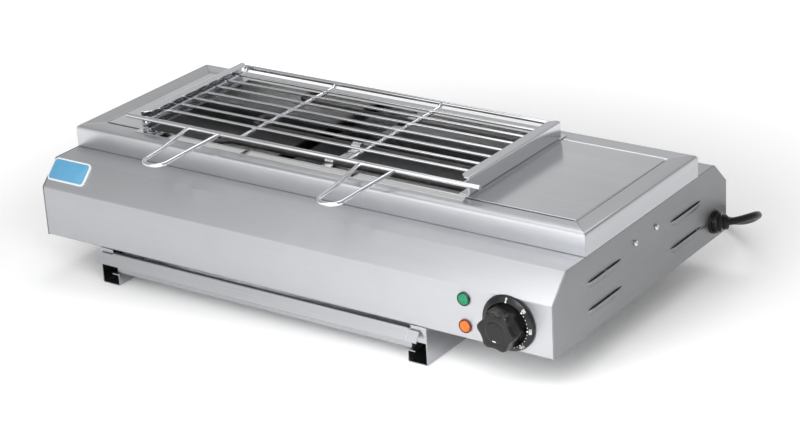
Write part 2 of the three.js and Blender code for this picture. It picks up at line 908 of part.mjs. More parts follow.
addPiece('left_leg_runner', legRunner(-1), finishes.brushed);
addPiece('right_leg_runner', legRunner(1), finishes.brushed);

// Drip tray: a shallow pan with a sloping lip that is wider than the pan.
function dripTray() {
  const floorZ = legInnerHeight + gap;
  const wallTop = 36; // the sides and the rear are lower than the front rim
  const lipTop = [trayFrontY - 4.5, trayRim];
  const lipFoot = [trayFrontY - 11.5, 28.3];
  const profile = foldedOutline([
    [-trayFrontY, wallTop],
    [-trayFrontY, floorZ],
    [trayFrontY, floorZ],
    [trayFrontY, trayRim],
    lipTop,
    lipFoot,
  ], traySheet, 0.8);
  const lip = foldedOutline([
    [lipTop[0] - 0.6, trayRim - 1],
    lipFoot,
  ], -traySheet);
  const half = traySheet / 2;
  const wall = toPoints([
    [trayFrontY + half, floorZ + half],
    [-trayFrontY - half, floorZ + half],
    [-trayFrontY - half, wallTop],
    [trayFrontY + trayRim - wallTop, wallTop],
    [trayFrontY + half, trayRim - 1],
  ]);
  return join(
    alongX(profile, trayLeft, trayRight),
    alongX(wall, trayLeft, trayLeft + traySheet),
    alongX(wall, trayRight - traySheet, trayRight),
    alongX(lip, lipLeft, lipRight),
  );
}

addPiece('drip_tray', dripTray(), finishes.brushed);

// Grate: longways wires welded on cross bars between a front and a rear rod.
function grate() {
  const wireFrom = bayLeft + 4;
  const wireTo = bayRight - 5;
  const overhang = 17; // the front rod runs over both rails
  const crossbarZ = grateRodZ - wireRadius - crossbarRadius + 0.2;
  const crossbarXs = [-257, -124, 27, 178];
  const longRod = (fromX, toX, y, radius, sides) =>
    rod([fromX, y, grateRodZ], [toX, y, grateRodZ], radius, sides);
  const wires = Array.from({ length: wireCount }, (_, index) =>
    longRod(wireFrom, wireTo, firstWireY - index * wireStep, wireRadius, 8));
  const crossbars = crossbarXs.map((x) =>
    rod([x, frontRodY + 1, crossbarZ], [x, rearRodY + 3, crossbarZ], crossbarRadius, 8));
  return join(
    longRod(bayLeft - overhang, bayRight + overhang, frontRodY, endRodRadius, 10),
    longRod(wireFrom, wireTo, rearRodY, endRodRadius, 10),
    ...wires,
    ...crossbars,
  );
}

// A handle is one bent rod, welded by its two ends to the front rod.
function grateHandle(centreX) {
  const endY = frontRodY - endRodRadius - gap;
  const endZ = grateRodZ - 1;
  const kneeHalf = 15.8;
  const kneeY = -155;
  const kneeZ = 169;
  const tipHalf = 13.8;
  const tipZ = 167;
  const bendRadius = 12;
  const corners = [
    [-handleSpread / 2, endY, endZ],
    [-kneeHalf, kneeY, kneeZ],
    [-tipHalf, handleReach, tipZ],
    [tipHalf, handleReach, tipZ],
    [kneeHalf, kneeY, kneeZ],
    [handleSpread / 2, endY, endZ],
  ].map(([x, y, z]) => new THREE.Vector3(centreX + x, y, z));
  return sweep(roundedPath(corners, bendRadius, 6), crossbarRadius, 8);
}

addPiece('grate', grate(), finishes.chrome);
Object.entries(handleCentres).forEach(([name, centreX]) => {
  addPiece(name, grateHandle(centreX), finishes.chrome);
});

// Cord gland: a ribbed base on the end panel with a neck that leans to the rear,
// and the nut that holds it from inside.
const neckWay = new THREE.Vector3(
  Math.cos(THREE.MathUtils.degToRad(neckLean)),
  Math.sin(THREE.MathUtils.degToRad(neckLean)),
  0,
);
const neckEnd = glandExit.clone().addScaledVector(neckWay, -gap);

function gland() {
  const threadRadius = glandHoleRadius - gap;
  const threadLength = 11;
  const ribs = [[13.4, gap], [12.6, 3.6], [11.2, 6.6]];
  const ribWidth = 2.2;
  const grooveRadius = 10;
  const ribCorners = ribs.flatMap(([radius, start]) => [
    [grooveRadius, start],
    [radius, start],
    [radius - 0.2, start + ribWidth],
    [grooveRadius, start + ribWidth],
  ]);
  const baseEnd = ribCorners[ribCorners.length - 1][1];
  const base = turned([
    [0, -threadLength],
    [threadRadius, -threadLength],
    [threadRadius, gap],
    ...ribCorners.slice(1),
    [0, baseEnd],
  ], [halfLength, glandY, glandZ], towardsRight, 20);
  const neck = (length, radius) => {
    const start = neckEnd.clone().addScaledVector(neckWay, -length);
    return rod(start.toArray(), neckEnd.toArray(), radius, 16);
  };
  return join(base, neck(14, 7.4), neck(5, 8.6));
}

function glandNut() {
  const thickness = 5;
  const innerFace = halfLength - sheet - gap;
  const hexagon = circlePoints(13, 6).map((point) => point.add(new THREE.Vector2(glandY, glandZ)));
  const nut = alongX(hexagon, innerFace - thickness, innerFace);
  const bore = rod(
    [innerFace - thickness - 1, glandY, glandZ],
    [innerFace + 1, glandY, glandZ],
    glandHoleRadius,
    20,
  );
  return cut(nut, bore);
}

addPiece('gland', gland(), finishes.rubber);
addPiece('gland_nut', glandNut(), finishes.black);

// Supply cord. It leaves the gland, curls round behind the casing and drops to the
// floor, where the rest of it is put away as a coil.
const cordRadius = cordDiameter / 2;
const turnPitch = cordDiameter + turnGap;
const layerRise = cordDiameter + turnGap;
const outerTurnRadius = coilMiddleRadius + (turnsPerLayer * turnPitch) / 2;
const coilFloor = cordRadius + tieStrap + 0.4;
const tailLength = 62;
const plugAxisZ = 19;

// The coil spirals in on the floor, climbs in the half turn round its reversal,
// and spirals out again on top. It starts where it is nearest to the casing's right.
function coilPoints() {
  const points = [];
  const total = turnsPerLayer * 2;
  const count = total * coilSteps;
  for (let index = 0; index <= count; index += 1) {
    const turns = (index / count) * total;
    const fromReversal = Math.abs(turns - turnsPerLayer);
    const radius = outerTurnRadius - turnPitch * (turnsPerLayer - fromReversal);
    const climb = THREE.MathUtils.clamp(0.5 + (turns - turnsPerLayer) * 2, 0, 1);
    const angle = Math.PI / 2 + turns * Math.PI * 2;
    points.push(new THREE.Vector3(
      coilCentre[0] + radius * Math.cos(angle),
      coilCentre[1] + radius * Math.sin(angle),
      coilFloor + climb * layerRise,
    ));
  }
  return points;
}

// Its tail leaves the top layer straight on and rises to the plug's axis.
function coilTail(last) {
  const tail = [];
  const steps = 6;
  for (let step = 1; step <= steps; step += 1) {
    const part = step / steps;
    const ease = part * part * (3 - 2 * part);
    tail.push(new THREE.Vector3(
      last.x - tailLength * part,
      last.y,
      last.z + (plugAxisZ - last.z) * ease,
    ));
  }
  tail.push(new THREE.Vector3(last.x - tailLength - cordDiameter, last.y, plugAxisZ));
  return tail;
}

function coilPath() {
  const turns = coilPoints();
  const first = turns[0];
  const lead = [new THREE.Vector3(first.x + cordDiameter, first.y, first.z)];
  return [...lead, ...turns, ...coilTail(turns[turns.length - 1])];
}

// The least distance between the surfaces of the turns, taken between the points
// of stretches that lie more than half a turn apart along the tube.
function leastSelfGap(path, radius) {
  let least = Infinity;
  const apart = coilSteps / 2;
  for (let first = 0; first < path.length; first += 1) {
    for (let second = first + apart; second < path.length - 1; second += 1) {
      const stretch = new THREE.Line3(path[second], path[second + 1]);
      const nearest = stretch.closestPointToPoint(path[first], true, new THREE.Vector3());
      least = Math.min(least, nearest.distanceTo(path[first]) - 2 * radius);
    }
  }
  return least;
}

function pathLength(points) {
  return points.reduce((sum, point, index) =>
    (index ? sum + point.distanceTo(points[index - 1]) : 0), 0);
}

const coil = coilPath();
const routeEnd = coil[0].clone().add(new THREE.Vector3(gap, 0, 0));
const routePoints = [
  glandExit.clone().addScaledVector(neckWay, cordDiameter),
  new THREE.Vector3(368.4, 179.3, 64.9),
  new THREE.Vector3(372, 187.5, 64.7),
  new THREE.Vector3(374, 196.5, 63.6),
  new THREE.Vector3(373.5, 206.5, 60.8),
  new THREE.Vector3(370, 217, 56),
  new THREE.Vector3(363, 228, 49),
  new THREE.Vector3(353, 239.5, 40),
  new THREE.Vector3(340, 251.5, 30.5),
  new THREE.Vector3(325, 263.5, 21.5),
  new THREE.Vector3(307, 276, 13.8),
  new THREE.Vector3(287, 288.5, 8.4),
  new THREE.Vector3(265, 300, 5.6),
  new THREE.Vector3(241, 309.5, 4.7),
  new THREE.Vector3(215, 317, 4.9),
  new THREE.Vector3(198, 320.3, 5.3),
  routeEnd.clone().add(new THREE.Vector3(cordDiameter, 0, 0)),
];

// The stretch runs straight for one diameter at both its ends.
function cordStretch() {
  const curve = new THREE.CatmullRomCurve3(routePoints, false, 'centripetal');
  const steps = Math.round(curve.getLength() / (2 * cordDiameter));
  return [glandExit, ...curve.getSpacedPoints(steps), routeEnd];
}

const stretch = cordStretch();
addPiece('power_cord', sweep(stretch, cordRadius, 10), finishes.rubber);
addPiece('cord_coil', sweep(coil, cordRadius, coilSides), finishes.rubber);

const coilGap = leastSelfGap(coil, cordRadius);
const cordLength = pathLength(stretch) + gap + pathLength(coil);
console.log(`least gap between turns ${coilGap.toFixed(2)} mm, cord ${cordLength.toFixed(0)} mm`);

// A tie round all the turns on the side that faces the casing.
function cordTie() {
  const slack = 0.8;
  const inner = outerTurnRadius - turnsPerLayer * turnPitch - cordRadius - slack;
  const outer = outerTurnRadius + cordRadius + slack;
  const low = 0.1;
  const high = coilFloor + layerRise + cordRadius + 0.5;
  const half = 5; // half the strap's width
  const [x, y] = coilCentre;
  const corner = tieStrap + 1.5;
  const ring = (grow) => [
    [y - outer - grow, low + tieStrap - grow],
    [y - inner + grow, low + tieStrap - grow],
    [y - inner + grow, high + grow - corner],
    [y - inner + grow - corner, high + grow],
    [y - outer - grow + corner, high + grow],
    [y - outer - grow, high + grow - corner],
  ];
  const band = alongX(toPoints(ring(tieStrap)), x - half, x + half);
  const hollow = alongX(toPoints(ring(0)), x - half - 1, x + half + 1);
  return cut(band, hollow);
}

addPiece('cord_tie', cordTie(), finishes.rubber);

// Plug: a round-faced mains plug with two pins, tapering to a strain relief.
function plug() {
  const tailEnd = coil[coil.length - 1];
  const start = [tailEnd.x - gap, tailEnd.y, plugAxisZ];
  const faceAt = 59; // from the strain relief's tip
  const bodyRadius = 18.6;
  const flatHeight = 15.6; // of the two flats above and below its axis
  const pinRadius = 2.4;
  const pinLength = 19;
  const pinSpread = 19;
  const body = turned([
    [0, 0],
    [5.6, 0],
    [6.4, 16],
    [9.5, 18],
    [11.5, 34],
    [17.8, 42],
    [bodyRadius, 46],
    [bodyRadius, faceAt - 1],
    [bodyRadius - 1, faceAt],
    [0, faceAt],
  ], start, towardsLeft, 24);
  const flatCuts = [-1, 1].map((side) => {
    const flatZ = ordered(plugAxisZ + side * flatHeight, plugAxisZ + side * (bodyRadius + 5));
    return block(start[0] - faceAt - 3, start[0] - 36, tailEnd.y - 8, tailEnd.y + 8, ...flatZ);
  });
  const pins = [-1, 1].map((side) => {
    const y = tailEnd.y + (side * pinSpread) / 2;
    return turned([
      [0, faceAt - 2],
      [pinRadius, faceAt - 2],
      [pinRadius, faceAt + pinLength - 2],
      [pinRadius - 1, faceAt + pinLength],
      [0, faceAt + pinLength],
    ], [start[0], y, plugAxisZ], towardsLeft, 10);
  });
  return join(cut(body, ...flatCuts), ...pins);
}

addPiece('plug', plug(), finishes.black);

export default grill;
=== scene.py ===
import math

import bmesh
import bpy
from mathutils import Matrix, Vector


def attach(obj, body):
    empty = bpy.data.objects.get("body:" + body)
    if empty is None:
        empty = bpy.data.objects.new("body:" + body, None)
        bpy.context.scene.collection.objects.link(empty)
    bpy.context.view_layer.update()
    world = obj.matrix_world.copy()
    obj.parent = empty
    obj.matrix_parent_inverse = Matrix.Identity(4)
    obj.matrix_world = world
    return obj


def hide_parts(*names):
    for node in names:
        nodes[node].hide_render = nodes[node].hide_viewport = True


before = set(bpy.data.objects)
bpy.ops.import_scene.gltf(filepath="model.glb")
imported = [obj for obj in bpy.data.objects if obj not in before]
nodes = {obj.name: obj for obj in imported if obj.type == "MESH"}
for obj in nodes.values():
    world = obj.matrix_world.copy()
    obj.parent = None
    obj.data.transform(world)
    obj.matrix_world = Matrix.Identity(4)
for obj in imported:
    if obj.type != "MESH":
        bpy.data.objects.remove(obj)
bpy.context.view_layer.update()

shiftY = 0.0145  # the casing's middle lies this far behind the origin


# Camera

camera = {
    "place": (1.437608, -1.926116, 1.085563),
    "azimuth": 35.984,
    "elevation": 22.810,
    "roll": -3.398,
    "focalPixels": 2288.7,
    "pictureWidth": 800,
    "sensor": 36.0,
    "sight": (0.05, 50),  # nearest and furthest that it shows
}


def makeCamera():
    data = bpy.data.cameras.new("camera")
    data.sensor_fit = "HORIZONTAL"
    data.sensor_width = camera["sensor"]
    data.lens = camera["focalPixels"] / camera["pictureWidth"] * camera["sensor"]
    data.clip_start, data.clip_end = camera["sight"]
    azimuth = math.radians(camera["azimuth"])
    elevation = math.radians(camera["elevation"])
    roll = math.radians(camera["roll"])
    ahead = Vector((
        -math.sin(azimuth) * math.cos(elevation),
        math.cos(azimuth) * math.cos(elevation),
        -math.sin(elevation),
    ))
    level = ahead.cross(Vector((0, 0, 1))).normalized()
    above = level.cross(ahead)
    right = level * math.cos(roll) + above * math.sin(roll)
    up = above * math.cos(roll) - level * math.sin(roll)
    turn = Matrix((right, up, -ahead)).transposed()
    eye = bpy.data.objects.new("camera", data)
    eye.matrix_world = Matrix.Translation(camera["place"]) @ turn.to_4x4()
    bpy.context.collection.objects.link(eye)
    bpy.context.scene.camera = eye


makeCamera()
print("camera set")


# Shader maths as plain expressions

class Link:
    def __init__(self, web, socket):
        self.web = web
        self.socket = socket

    def maths(self, operation, first, second):
        return self.web.node("ShaderNodeMath", {"operation": operation}, {0: first, 1: second})

    def __add__(self, other):
        return self.maths("ADD", self, other)

    __radd__ = __add__

    def __mul__(self, other):
        return self.maths("MULTIPLY", self, other)

    __rmul__ = __mul__


class Web:
    def __init__(self, tree):
        self.tree = tree

    def node(self, kind, settings=None, values=None, output=0):
        made = self.tree.nodes.new(kind)
        for key, value in (settings or {}).items():
            if key == "stops":
                self.setStops(made.color_ramp, value)
            else:
                setattr(made, key, value)
        for key, value in (values or {}).items():
            self.connect(made.inputs[key], value)
        return Link(self, made.outputs[output])

    def setStops(self, ramp, stops):
        while len(ramp.elements) < len(stops):
            ramp.elements.new(0.5)
        for element, (place, colour) in zip(ramp.elements, stops):
            element.position = place
            element.color = colour

    def connect(self, socket, value):
        if isinstance(value, Link):
            self.tree.links.new(value.socket, socket)
        else:
            socket.default_value = value

    def ramp(self, value, stops):
        return self.node("ShaderNodeValToRGB", {"stops": stops}, {"Fac": value})

    def mix(self, share, first, second, blend="MIX"):
        return self.node(
            "ShaderNodeMix", {"data_type": "RGBA", "blend_type": blend},
            {0: share, 6: first, 7: second}, output=2)


class Paint(Web):
    def __init__(self, name, **fixed):
        self.material = bpy.data.materials.new(name)
        self.material.use_nodes = True
        super().__init__(self.material.node_tree)
        self.surface = self.tree.nodes["Principled BSDF"]
        for socket, value in fixed.items():
            self.feed(socket.replace("_", " "), value)

    def feed(self, socket, value):
        self.connect(self.surface.inputs[socket], value)

    def place(self, scale=1):
        # one scale for all three axes, or one for each
        scales = scale if isinstance(scale, tuple) else (scale, scale, scale)
        objectPlace = self.node("ShaderNodeTexCoord", output="Object")
        return self.node("ShaderNodeMapping", {}, {"Vector": objectPlace, "Scale": scales})

    def noise(self, scale, detail=2.0, roughness=0.5, distortion=0.0):
        return self.node(
            "ShaderNodeTexNoise", {},
            {"Vector": self.place(scale), "Scale": 1.0, "Detail": detail,
             "Roughness": roughness, "Distortion": distortion}, output="Fac")

    def range(self, value, low, high, lowOut=0.0, highOut=1.0):
        return self.node(
            "ShaderNodeMapRange", {"clamp": True},
            {"Value": value, "From Min": low, "From Max": high, "To Min": lowOut,
             "To Max": highOut}, output="Result")

    def bump(self, height, strength, distance):
        return self.node(
            "ShaderNodeBump", {}, {"Height": height, "Strength": strength, "Distance": distance},
            output="Normal")


def grey(level, tint=(1.0, 1.0, 1.0)):
    return tuple(level * part for part in tint) + (1.0,)


coolTint = (0.975, 0.99, 1.025)
wellTint = (1.0, 1.0, 0.992)  # inside the well, where the heat has taken the blue out

brushedSteels = {  # "axis" is the way the grain runs, "grain" the strength of its bump
    "casingSteel": {"axis": 0, "dark": 0.48, "light": 0.53, "roughness": 0.46, "grain": 0.2},
    # the end panels: the casing's steel with its tones darkened as painted shade
    "endSteel": {"axis": 1, "dark": 0.25, "light": 0.29, "roughness": 0.4, "grain": 0.2},
    "frameSteel": {"axis": 0, "dark": 0.57, "light": 0.64, "roughness": 0.3, "grain": 0.05},
    "sideStripSteel": {"axis": 1, "dark": 0.5, "light": 0.57, "roughness": 0.32, "grain": 0.12},
    "deckSteel": {"axis": 0, "dark": 0.66, "light": 0.74, "roughness": 0.19, "grain": 0.03},
    "railSteel": {"axis": 1, "dark": 0.64, "light": 0.72, "roughness": 0.2, "grain": 0.05},
    "linerSteel": {"axis": 0, "dark": 0.7, "light": 0.8, "roughness": 0.05, "grain": 0.02,
                   "tint": wellTint},
    "runnerSteel": {"axis": 1, "dark": 0.42, "light": 0.52, "roughness": 0.24, "grain": 0.1},
    "traySteel": {"axis": 0, "dark": 0.42, "light": 0.54, "roughness": 0.38, "grain": 0.1},
    "innerSteel": {"axis": 1, "dark": 0.4, "light": 0.5, "roughness": 0.4, "grain": 0.1},
}
brushing = {
    "lines": (1500.0, 9.0),  # noise scale across the grain and along it
    "bands": (26.0, 1.3),
    "clouds": 7,
    "smudges": 31,
    "smudgeEdge": (0.52, 0.74),
    "toneShares": (0.45, 0.35, 0.2),  # of the lines, bands and clouds
    "toneEdge": (0.36, 0.64),
    "roughnessShares": (0.2, 0.15, 0.88),  # of the lines, the smudges and what's always there
    "bumpDepth": 0.0004,
}


def grainScales(kind, axis):
    across, along = brushing[kind]
    return tuple(along if way == axis else across for way in range(3))


def makeBrushedSteel(name, axis, dark, light, roughness, grain, tint=coolTint):
    paint = Paint(name, Metallic=1.0)
    lines = paint.noise(grainScales("lines", axis), detail=3.0, roughness=0.65)
    bands = paint.noise(grainScales("bands", axis))
    clouds = paint.noise(brushing["clouds"], detail=3.0, roughness=0.55, distortion=0.4)
    blots = paint.noise(brushing["smudges"], detail=5.0, roughness=0.6)
    smudges = paint.range(blots, *brushing["smudgeEdge"])
    lineShare, bandShare, cloudShare = brushing["toneShares"]
    tone = lines * lineShare + bands * bandShare + clouds * cloudShare
    lightness = paint.range(tone, *brushing["toneEdge"])
    paint.feed("Base Color", paint.mix(lightness, grey(dark, tint), grey(light, tint)))
    lineShare, smudgeShare, rest = brushing["roughnessShares"]
    paint.feed("Roughness", (lines * lineShare + smudges * smudgeShare + rest) * roughness)
    paint.feed("Normal", paint.bump(lines, grain, brushing["bumpDepth"]))
    return paint.material


chrome = {
    "bright": grey(0.77, coolTint),
    "dulled": grey(0.6),
    "roughness": (0.05, 0.1),
    "dulledRoughness": 0.06,  # added where the heat has dulled it
}


def makeChrome():
    paint = Paint("wireChrome", Metallic=1.0)
    heat = paint.noise((14, 14, 40), detail=4.0, roughness=0.6, distortion=0.5)
    scratch = paint.noise(260)
    dulled = paint.range(heat, 0.5, 0.8)
    paint.feed("Base Color", paint.mix(dulled, chrome["bright"], chrome["dulled"]))
    scratched = paint.range(scratch, 0.3, 0.7, *chrome["roughness"])
    paint.feed("Roughness", scratched + dulled * chrome["dulledRoughness"])
    paint.feed("Normal", paint.bump(scratch, strength=0.04, distance=0.0003))
    return paint.material


brightMetal = {"dark": grey(0.76), "light": grey(0.92), "roughness": (0.14, 0.28)}


def makeBrightMetal():
    paint = Paint("brightMetal", Metallic=1.0)
    wear = paint.noise(420, detail=3.0, roughness=0.6)
    paint.feed("Base Color", paint.mix(wear, brightMetal["dark"], brightMetal["light"]))
    paint.feed("Roughness", paint.range(wear, 0.3, 0.7, *brightMetal["roughness"]))
    return paint.material


sheath = {
    "metallic": 0.75,
    "oxide": [
        (0.3, (0.035, 0.034, 0.034, 1)), (0.55, (0.085, 0.08, 0.075, 1)),
        (0.75, (0.15, 0.135, 0.12, 1)),
    ],
    "roughness": (0.34, 0.5),
}


def makeHeaterSheath():
    paint = Paint("heaterSheath", Metallic=sheath["metallic"])
    oxide = paint.noise((60, 160, 160), detail=5.0, roughness=0.65, distortion=0.3)
    fine = paint.noise(900)
    paint.feed("Base Color", paint.ramp(oxide, sheath["oxide"]))
    paint.feed("Roughness", paint.range(oxide, 0.3, 0.7, *sheath["roughness"]) + fine * 0.05)
    paint.feed("Normal", paint.bump(fine, strength=0.12, distance=0.0003))
    return paint.material


plastics = {
    "knobBlack": {
        "dark": grey(0.006), "light": grey(0.013), "roughness": 0.18, "grain": 0.06},
    "holderBlack": {
        "dark": grey(0.02), "light": grey(0.03), "roughness": 0.5, "grain": 0.15},
    "phenolic": {
        "dark": (0.62, 0.56, 0.46, 1), "light": (0.74, 0.69, 0.6, 1), "roughness": 0.45,
        "grain": 0.1},
}


def makeMouldedPlastic(name, dark, light, roughness, grain):
    paint = Paint(name, Specular_IOR_Level=0.3)
    pebble = paint.noise(1900)
    wear = paint.noise(70, detail=4.0, roughness=0.6)
    paint.feed("Base Color", paint.mix(wear, dark, light))
    paint.feed("Roughness", roughness - 0.05 + wear * 0.1 + pebble * 0.04)
    paint.feed("Normal", paint.bump(pebble, grain, distance=0.0002))
    return paint.material


lenses = {
    "greenLens": {"deep": (0.0, 0.08, 0.035, 1), "bright": (0.0, 0.36, 0.16, 1)},
    "greenRim": {"deep": (0.0, 0.02, 0.012, 1), "bright": (0.0, 0.055, 0.03, 1)},
    "orangeLens": {"deep": (0.4, 0.05, 0.004, 1), "bright": (0.86, 0.25, 0.015, 1)},
    "orangeRim": {"deep": (0.05, 0.008, 0.003, 1), "bright": (0.2, 0.03, 0.006, 1)},
}


def makeLens(name, deep, bright):
    paint = Paint(name, Coat_Weight=0.25, Coat_Roughness=0.06, Specular_IOR_Level=0.3)
    grid = paint.node(
        "ShaderNodeTexVoronoi", {"feature": "DISTANCE_TO_EDGE"},
        {"Vector": paint.place(520), "Scale": 1.0}, output="Distance")
    cloud = paint.noise(230, detail=3.0)
    share = paint.range(grid, 0.02, 0.3) * 0.55 + cloud * 0.45
    paint.feed("Base Color", paint.mix(share, deep, bright))
    paint.feed("Roughness", paint.range(cloud, 0.3, 0.7, 0.16, 0.26))
    paint.feed("Normal", paint.bump(grid, strength=0.5, distance=0.0004))
    return paint.material


enamels = {
    "plateBlue": {
        "first": (0.09, 0.33, 0.56, 1), "second": (0.13, 0.4, 0.63, 1), "roughness": 0.25},
    "plateWhite": {"first": grey(0.8), "second": grey(0.88), "roughness": 0.3},
    "markWhite": {"first": grey(0.62), "second": grey(0.78), "roughness": 0.4},
}


def makeEnamel(name, first, second, roughness):
    paint = Paint(name, Coat_Weight=0.4, Coat_Roughness=0.1)
    cloud = paint.noise(90, detail=4.0, roughness=0.6)
    speck = paint.noise(1500)
    paint.feed("Base Color", paint.mix(cloud, first, second))
    paint.feed("Roughness", roughness + cloud * 0.08)
    paint.feed("Normal", paint.bump(speck, strength=0.04, distance=0.0002))
    return paint.material


rubber = {
    "clean": (0.008, 0.008, 0.009, 1),
    "dusty": (0.02, 0.02, 0.019, 1),
    "roughness": (0.28, 0.44),
}


def makeRubber():
    paint = Paint("cordRubber", Specular_IOR_Level=0.25)
    grain = paint.noise(1100, detail=3.0, roughness=0.6)
    dust = paint.noise(45, detail=4.0, roughness=0.6)
    dusty = paint.range(dust, 0.5, 0.8)
    paint.feed("Base Color", paint.mix(dusty, rubber["clean"], rubber["dusty"]))
    paint.feed("Roughness", paint.range(dust, 0.35, 0.75, *rubber["roughness"]))
    paint.feed("Normal", paint.bump(grain, strength=0.12, distance=0.0003))
    return paint.material


paints = {
    "wireChrome": makeChrome(),
    "brightMetal": makeBrightMetal(),
    "heaterSheath": makeHeaterSheath(),
    "cordRubber": makeRubber(),
}
for make, finishes in (
    (makeBrushedSteel, brushedSteels), (makeMouldedPlastic, plastics), (makeLens, lenses),
    (makeEnamel, enamels),
):
    for name, facts in finishes.items():
        paints[name] = make(name, **facts)
print("materials made")


# Mesh helpers. Every piece keeps its place in its mesh.

def addPiece(name, mesh, paint, body, slot, replaced=(), smoothAngle=35):
    piece = bpy.data.objects.new(name, mesh)
    bpy.context.collection.objects.link(piece)
    finishPiece(piece, paint, body, replaced, smoothAngle)
    return piece


def finishPiece(piece, paint, body, replaced, smoothAngle):
    if not piece.data.materials:
        piece.data.materials.append(paints[paint])
    piece.data.shade_smooth()
    piece.data.set_sharp_from_angle(angle=math.radians(smoothAngle))
    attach(piece, body)
    if replaced:
        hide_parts(*replaced)


def meshFromRings(name, rings, closed=False):
    # rings of equal counts, joined in order; a face closes each end, or the last meets the first
    mesh = bpy.data.meshes.new(name)
    bm = bmesh.new()
    made = [[bm.verts.new(point) for point in ring] for ring in rings]
    pairs = list(zip(made, made[1:])) + ([(made[-1], made[0])] if closed else [])
    for first, second in pairs:
        for index in range(len(first)):
            following = (index + 1) % len(first)
            bm.faces.new((first[index], first[following], second[following], second[index]))
    if not closed:
        bm.faces.new(list(reversed(made[0])))
        bm.faces.new(made[-1])
    bmesh.ops.recalc_face_normals(bm, faces=bm.faces)
    bm.to_mesh(mesh)
    bm.free()
    return mesh


def joinMeshes(name, meshes):
    whole = bpy.data.meshes.new(name)
    bm = bmesh.new()
    for mesh in meshes:
        bm.from_mesh(mesh)
    bm.to_mesh(whole)
    bm.free()
    return whole


def ringAround(centre, side, up, radius, steps):
    turns = [step / steps * math.tau for step in range(steps)]
    return [centre + (side * math.cos(turn) + up * math.sin(turn)) * radius for turn in turns]


def turnedRings(profile, place, axis, steps):
    # profile of (radius, distance along the axis) in millimetres
    along = Vector(axis).normalized()
    side = along.orthogonal().normalized()
    up = along.cross(side)
    return [
        ringAround(Vector(place) + along * (distance / 1000), side, up, radius / 1000, steps)
        for radius, distance in profile
    ]


def tubeRings(path, radius, sides):
    # circles carried along a path without twist
    rings = []
    side = None
    for index, point in enumerate(path):
        before = path[max(index - 1, 0)]
        after = path[min(index + 1, len(path) - 1)]
        way = (after - before).normalized()
        if side is None:
            side = way.orthogonal()
        side = (side - way * side.dot(way)).normalized()
        rings.append(ringAround(point, side, way.cross(side), radius, sides))
    return rings


def curveAt(start, pull, end, part):
    return start * (1 - part) ** 2 + pull * 2 * part * (1 - part) + end * part ** 2


def roundedProfile(points, radius, steps=3):
    # the same profile with its inner corners rounded
    path = [Vector(point) for point in points]
    result = [path[0]]
    for before, corner, after in zip(path, path[1:], path[2:]):
        toBefore = before - corner
        toAfter = after - corner
        reach = min(radius, toBefore.length * 0.45, toAfter.length * 0.45)
        start = corner + toBefore.normalized() * reach
        end = corner + toAfter.normalized() * reach
        result += [curveAt(start, corner, end, step / steps) for step in range(steps + 1)]
    result.append(path[-1])
    return [(point.x, point.y) for point in result]


def smoothPath(points, stepsEach):
    # a centripetal curve through the points
    padded = [points[0] * 2 - points[1], *points, points[-1] * 2 - points[-2]]
    path = [points[0]]
    for a, b, c, d in zip(padded, padded[1:], padded[2:], padded[3:]):
        ab, bc, cd = ((end - start).length ** 0.5 for start, end in ((a, b), (b, c), (c, d)))
        startSlope = ((b - a) / ab - (c - a) / (ab + bc) + (c - b) / bc) * bc
        endSlope = ((c - b) / bc - (d - b) / (bc + cd) + (d - c) / cd) * bc
        for step in range(1, stepsEach + 1):
            t = step / stepsEach
            path.append(
                b * (2 * t ** 3 - 3 * t ** 2 + 1) + startSlope * (t ** 3 - 2 * t ** 2 + t)
                + c * (3 * t ** 2 - 2 * t ** 3) + endSlope * (t ** 3 - t ** 2))
    return path


def roundedPath(corners, radius, steps):
    # straight stretches with an arc at every corner
    points = [Vector(corner) for corner in corners]
    path = [points[0]]
    for before, corner, after in zip(points, points[1:], points[2:]):
        back = (before - corner).normalized()
        ahead = (after - corner).normalized()
        half = back.angle(ahead) / 2
        setback = radius / math.tan(half)
        centre = corner + (back + ahead).normalized() * radius / math.sin(half)
        start = corner + back * setback - centre
        end = corner + ahead * setback - centre
        sweep = start.angle(end)
        for step in range(steps + 1):
            part = step / steps
            spoke = (start * math.sin((1 - part) * sweep) + end * math.sin(part * sweep))
            path.append(centre + spoke / math.sin(sweep))
    path.append(points[-1])
    return path


def inCasing(x, y, z):
    # millimetres from the casing's middle and the worktop, as metres in the frame
    return Vector((x / 1000, y / 1000 + shiftY, z / 1000))


# Copies of the solids with their sharp edges eased

sheetEdge = {
    "width": 0.00022,
    "segments": 2,
    "angle": 28,
    "smooth": 32,
    "louvreSmooth": 12,  # smaller, or the flat sheet shades unevenly round the louvres
    "mergeWithin": 2e-6,
    "flatWithin": 0.4,
}


def easedCopy(node, paint, body, width, smoothAngle=sheetEdge["smooth"]):
    mesh = nodes[node].data.copy()
    mesh.name = node + "_eased"
    bm = bmesh.new()
    bm.from_mesh(mesh)
    bmesh.ops.remove_doubles(bm, verts=bm.verts, dist=sheetEdge["mergeWithin"])
    bmesh.ops.dissolve_limit(
        bm, angle_limit=math.radians(sheetEdge["flatWithin"]), verts=bm.verts, edges=bm.edges)
    bm.to_mesh(mesh)
    bm.free()
    mesh.materials.clear()
    piece = bpy.data.objects.new(node + "_eased", mesh)
    bpy.context.collection.objects.link(piece)
    ease = piece.modifiers.new("eased edges", "BEVEL")
    ease.width = width
    ease.segments = sheetEdge["segments"]
    ease.limit_method = "ANGLE"
    ease.angle_limit = math.radians(sheetEdge["angle"])
    ease.use_clamp_overlap = True
    ease.harden_normals = True
    finishPiece(piece, paint, body, (node,), smoothAngle)


# Supply cord: the free stretch, the coil and its tail, on one path

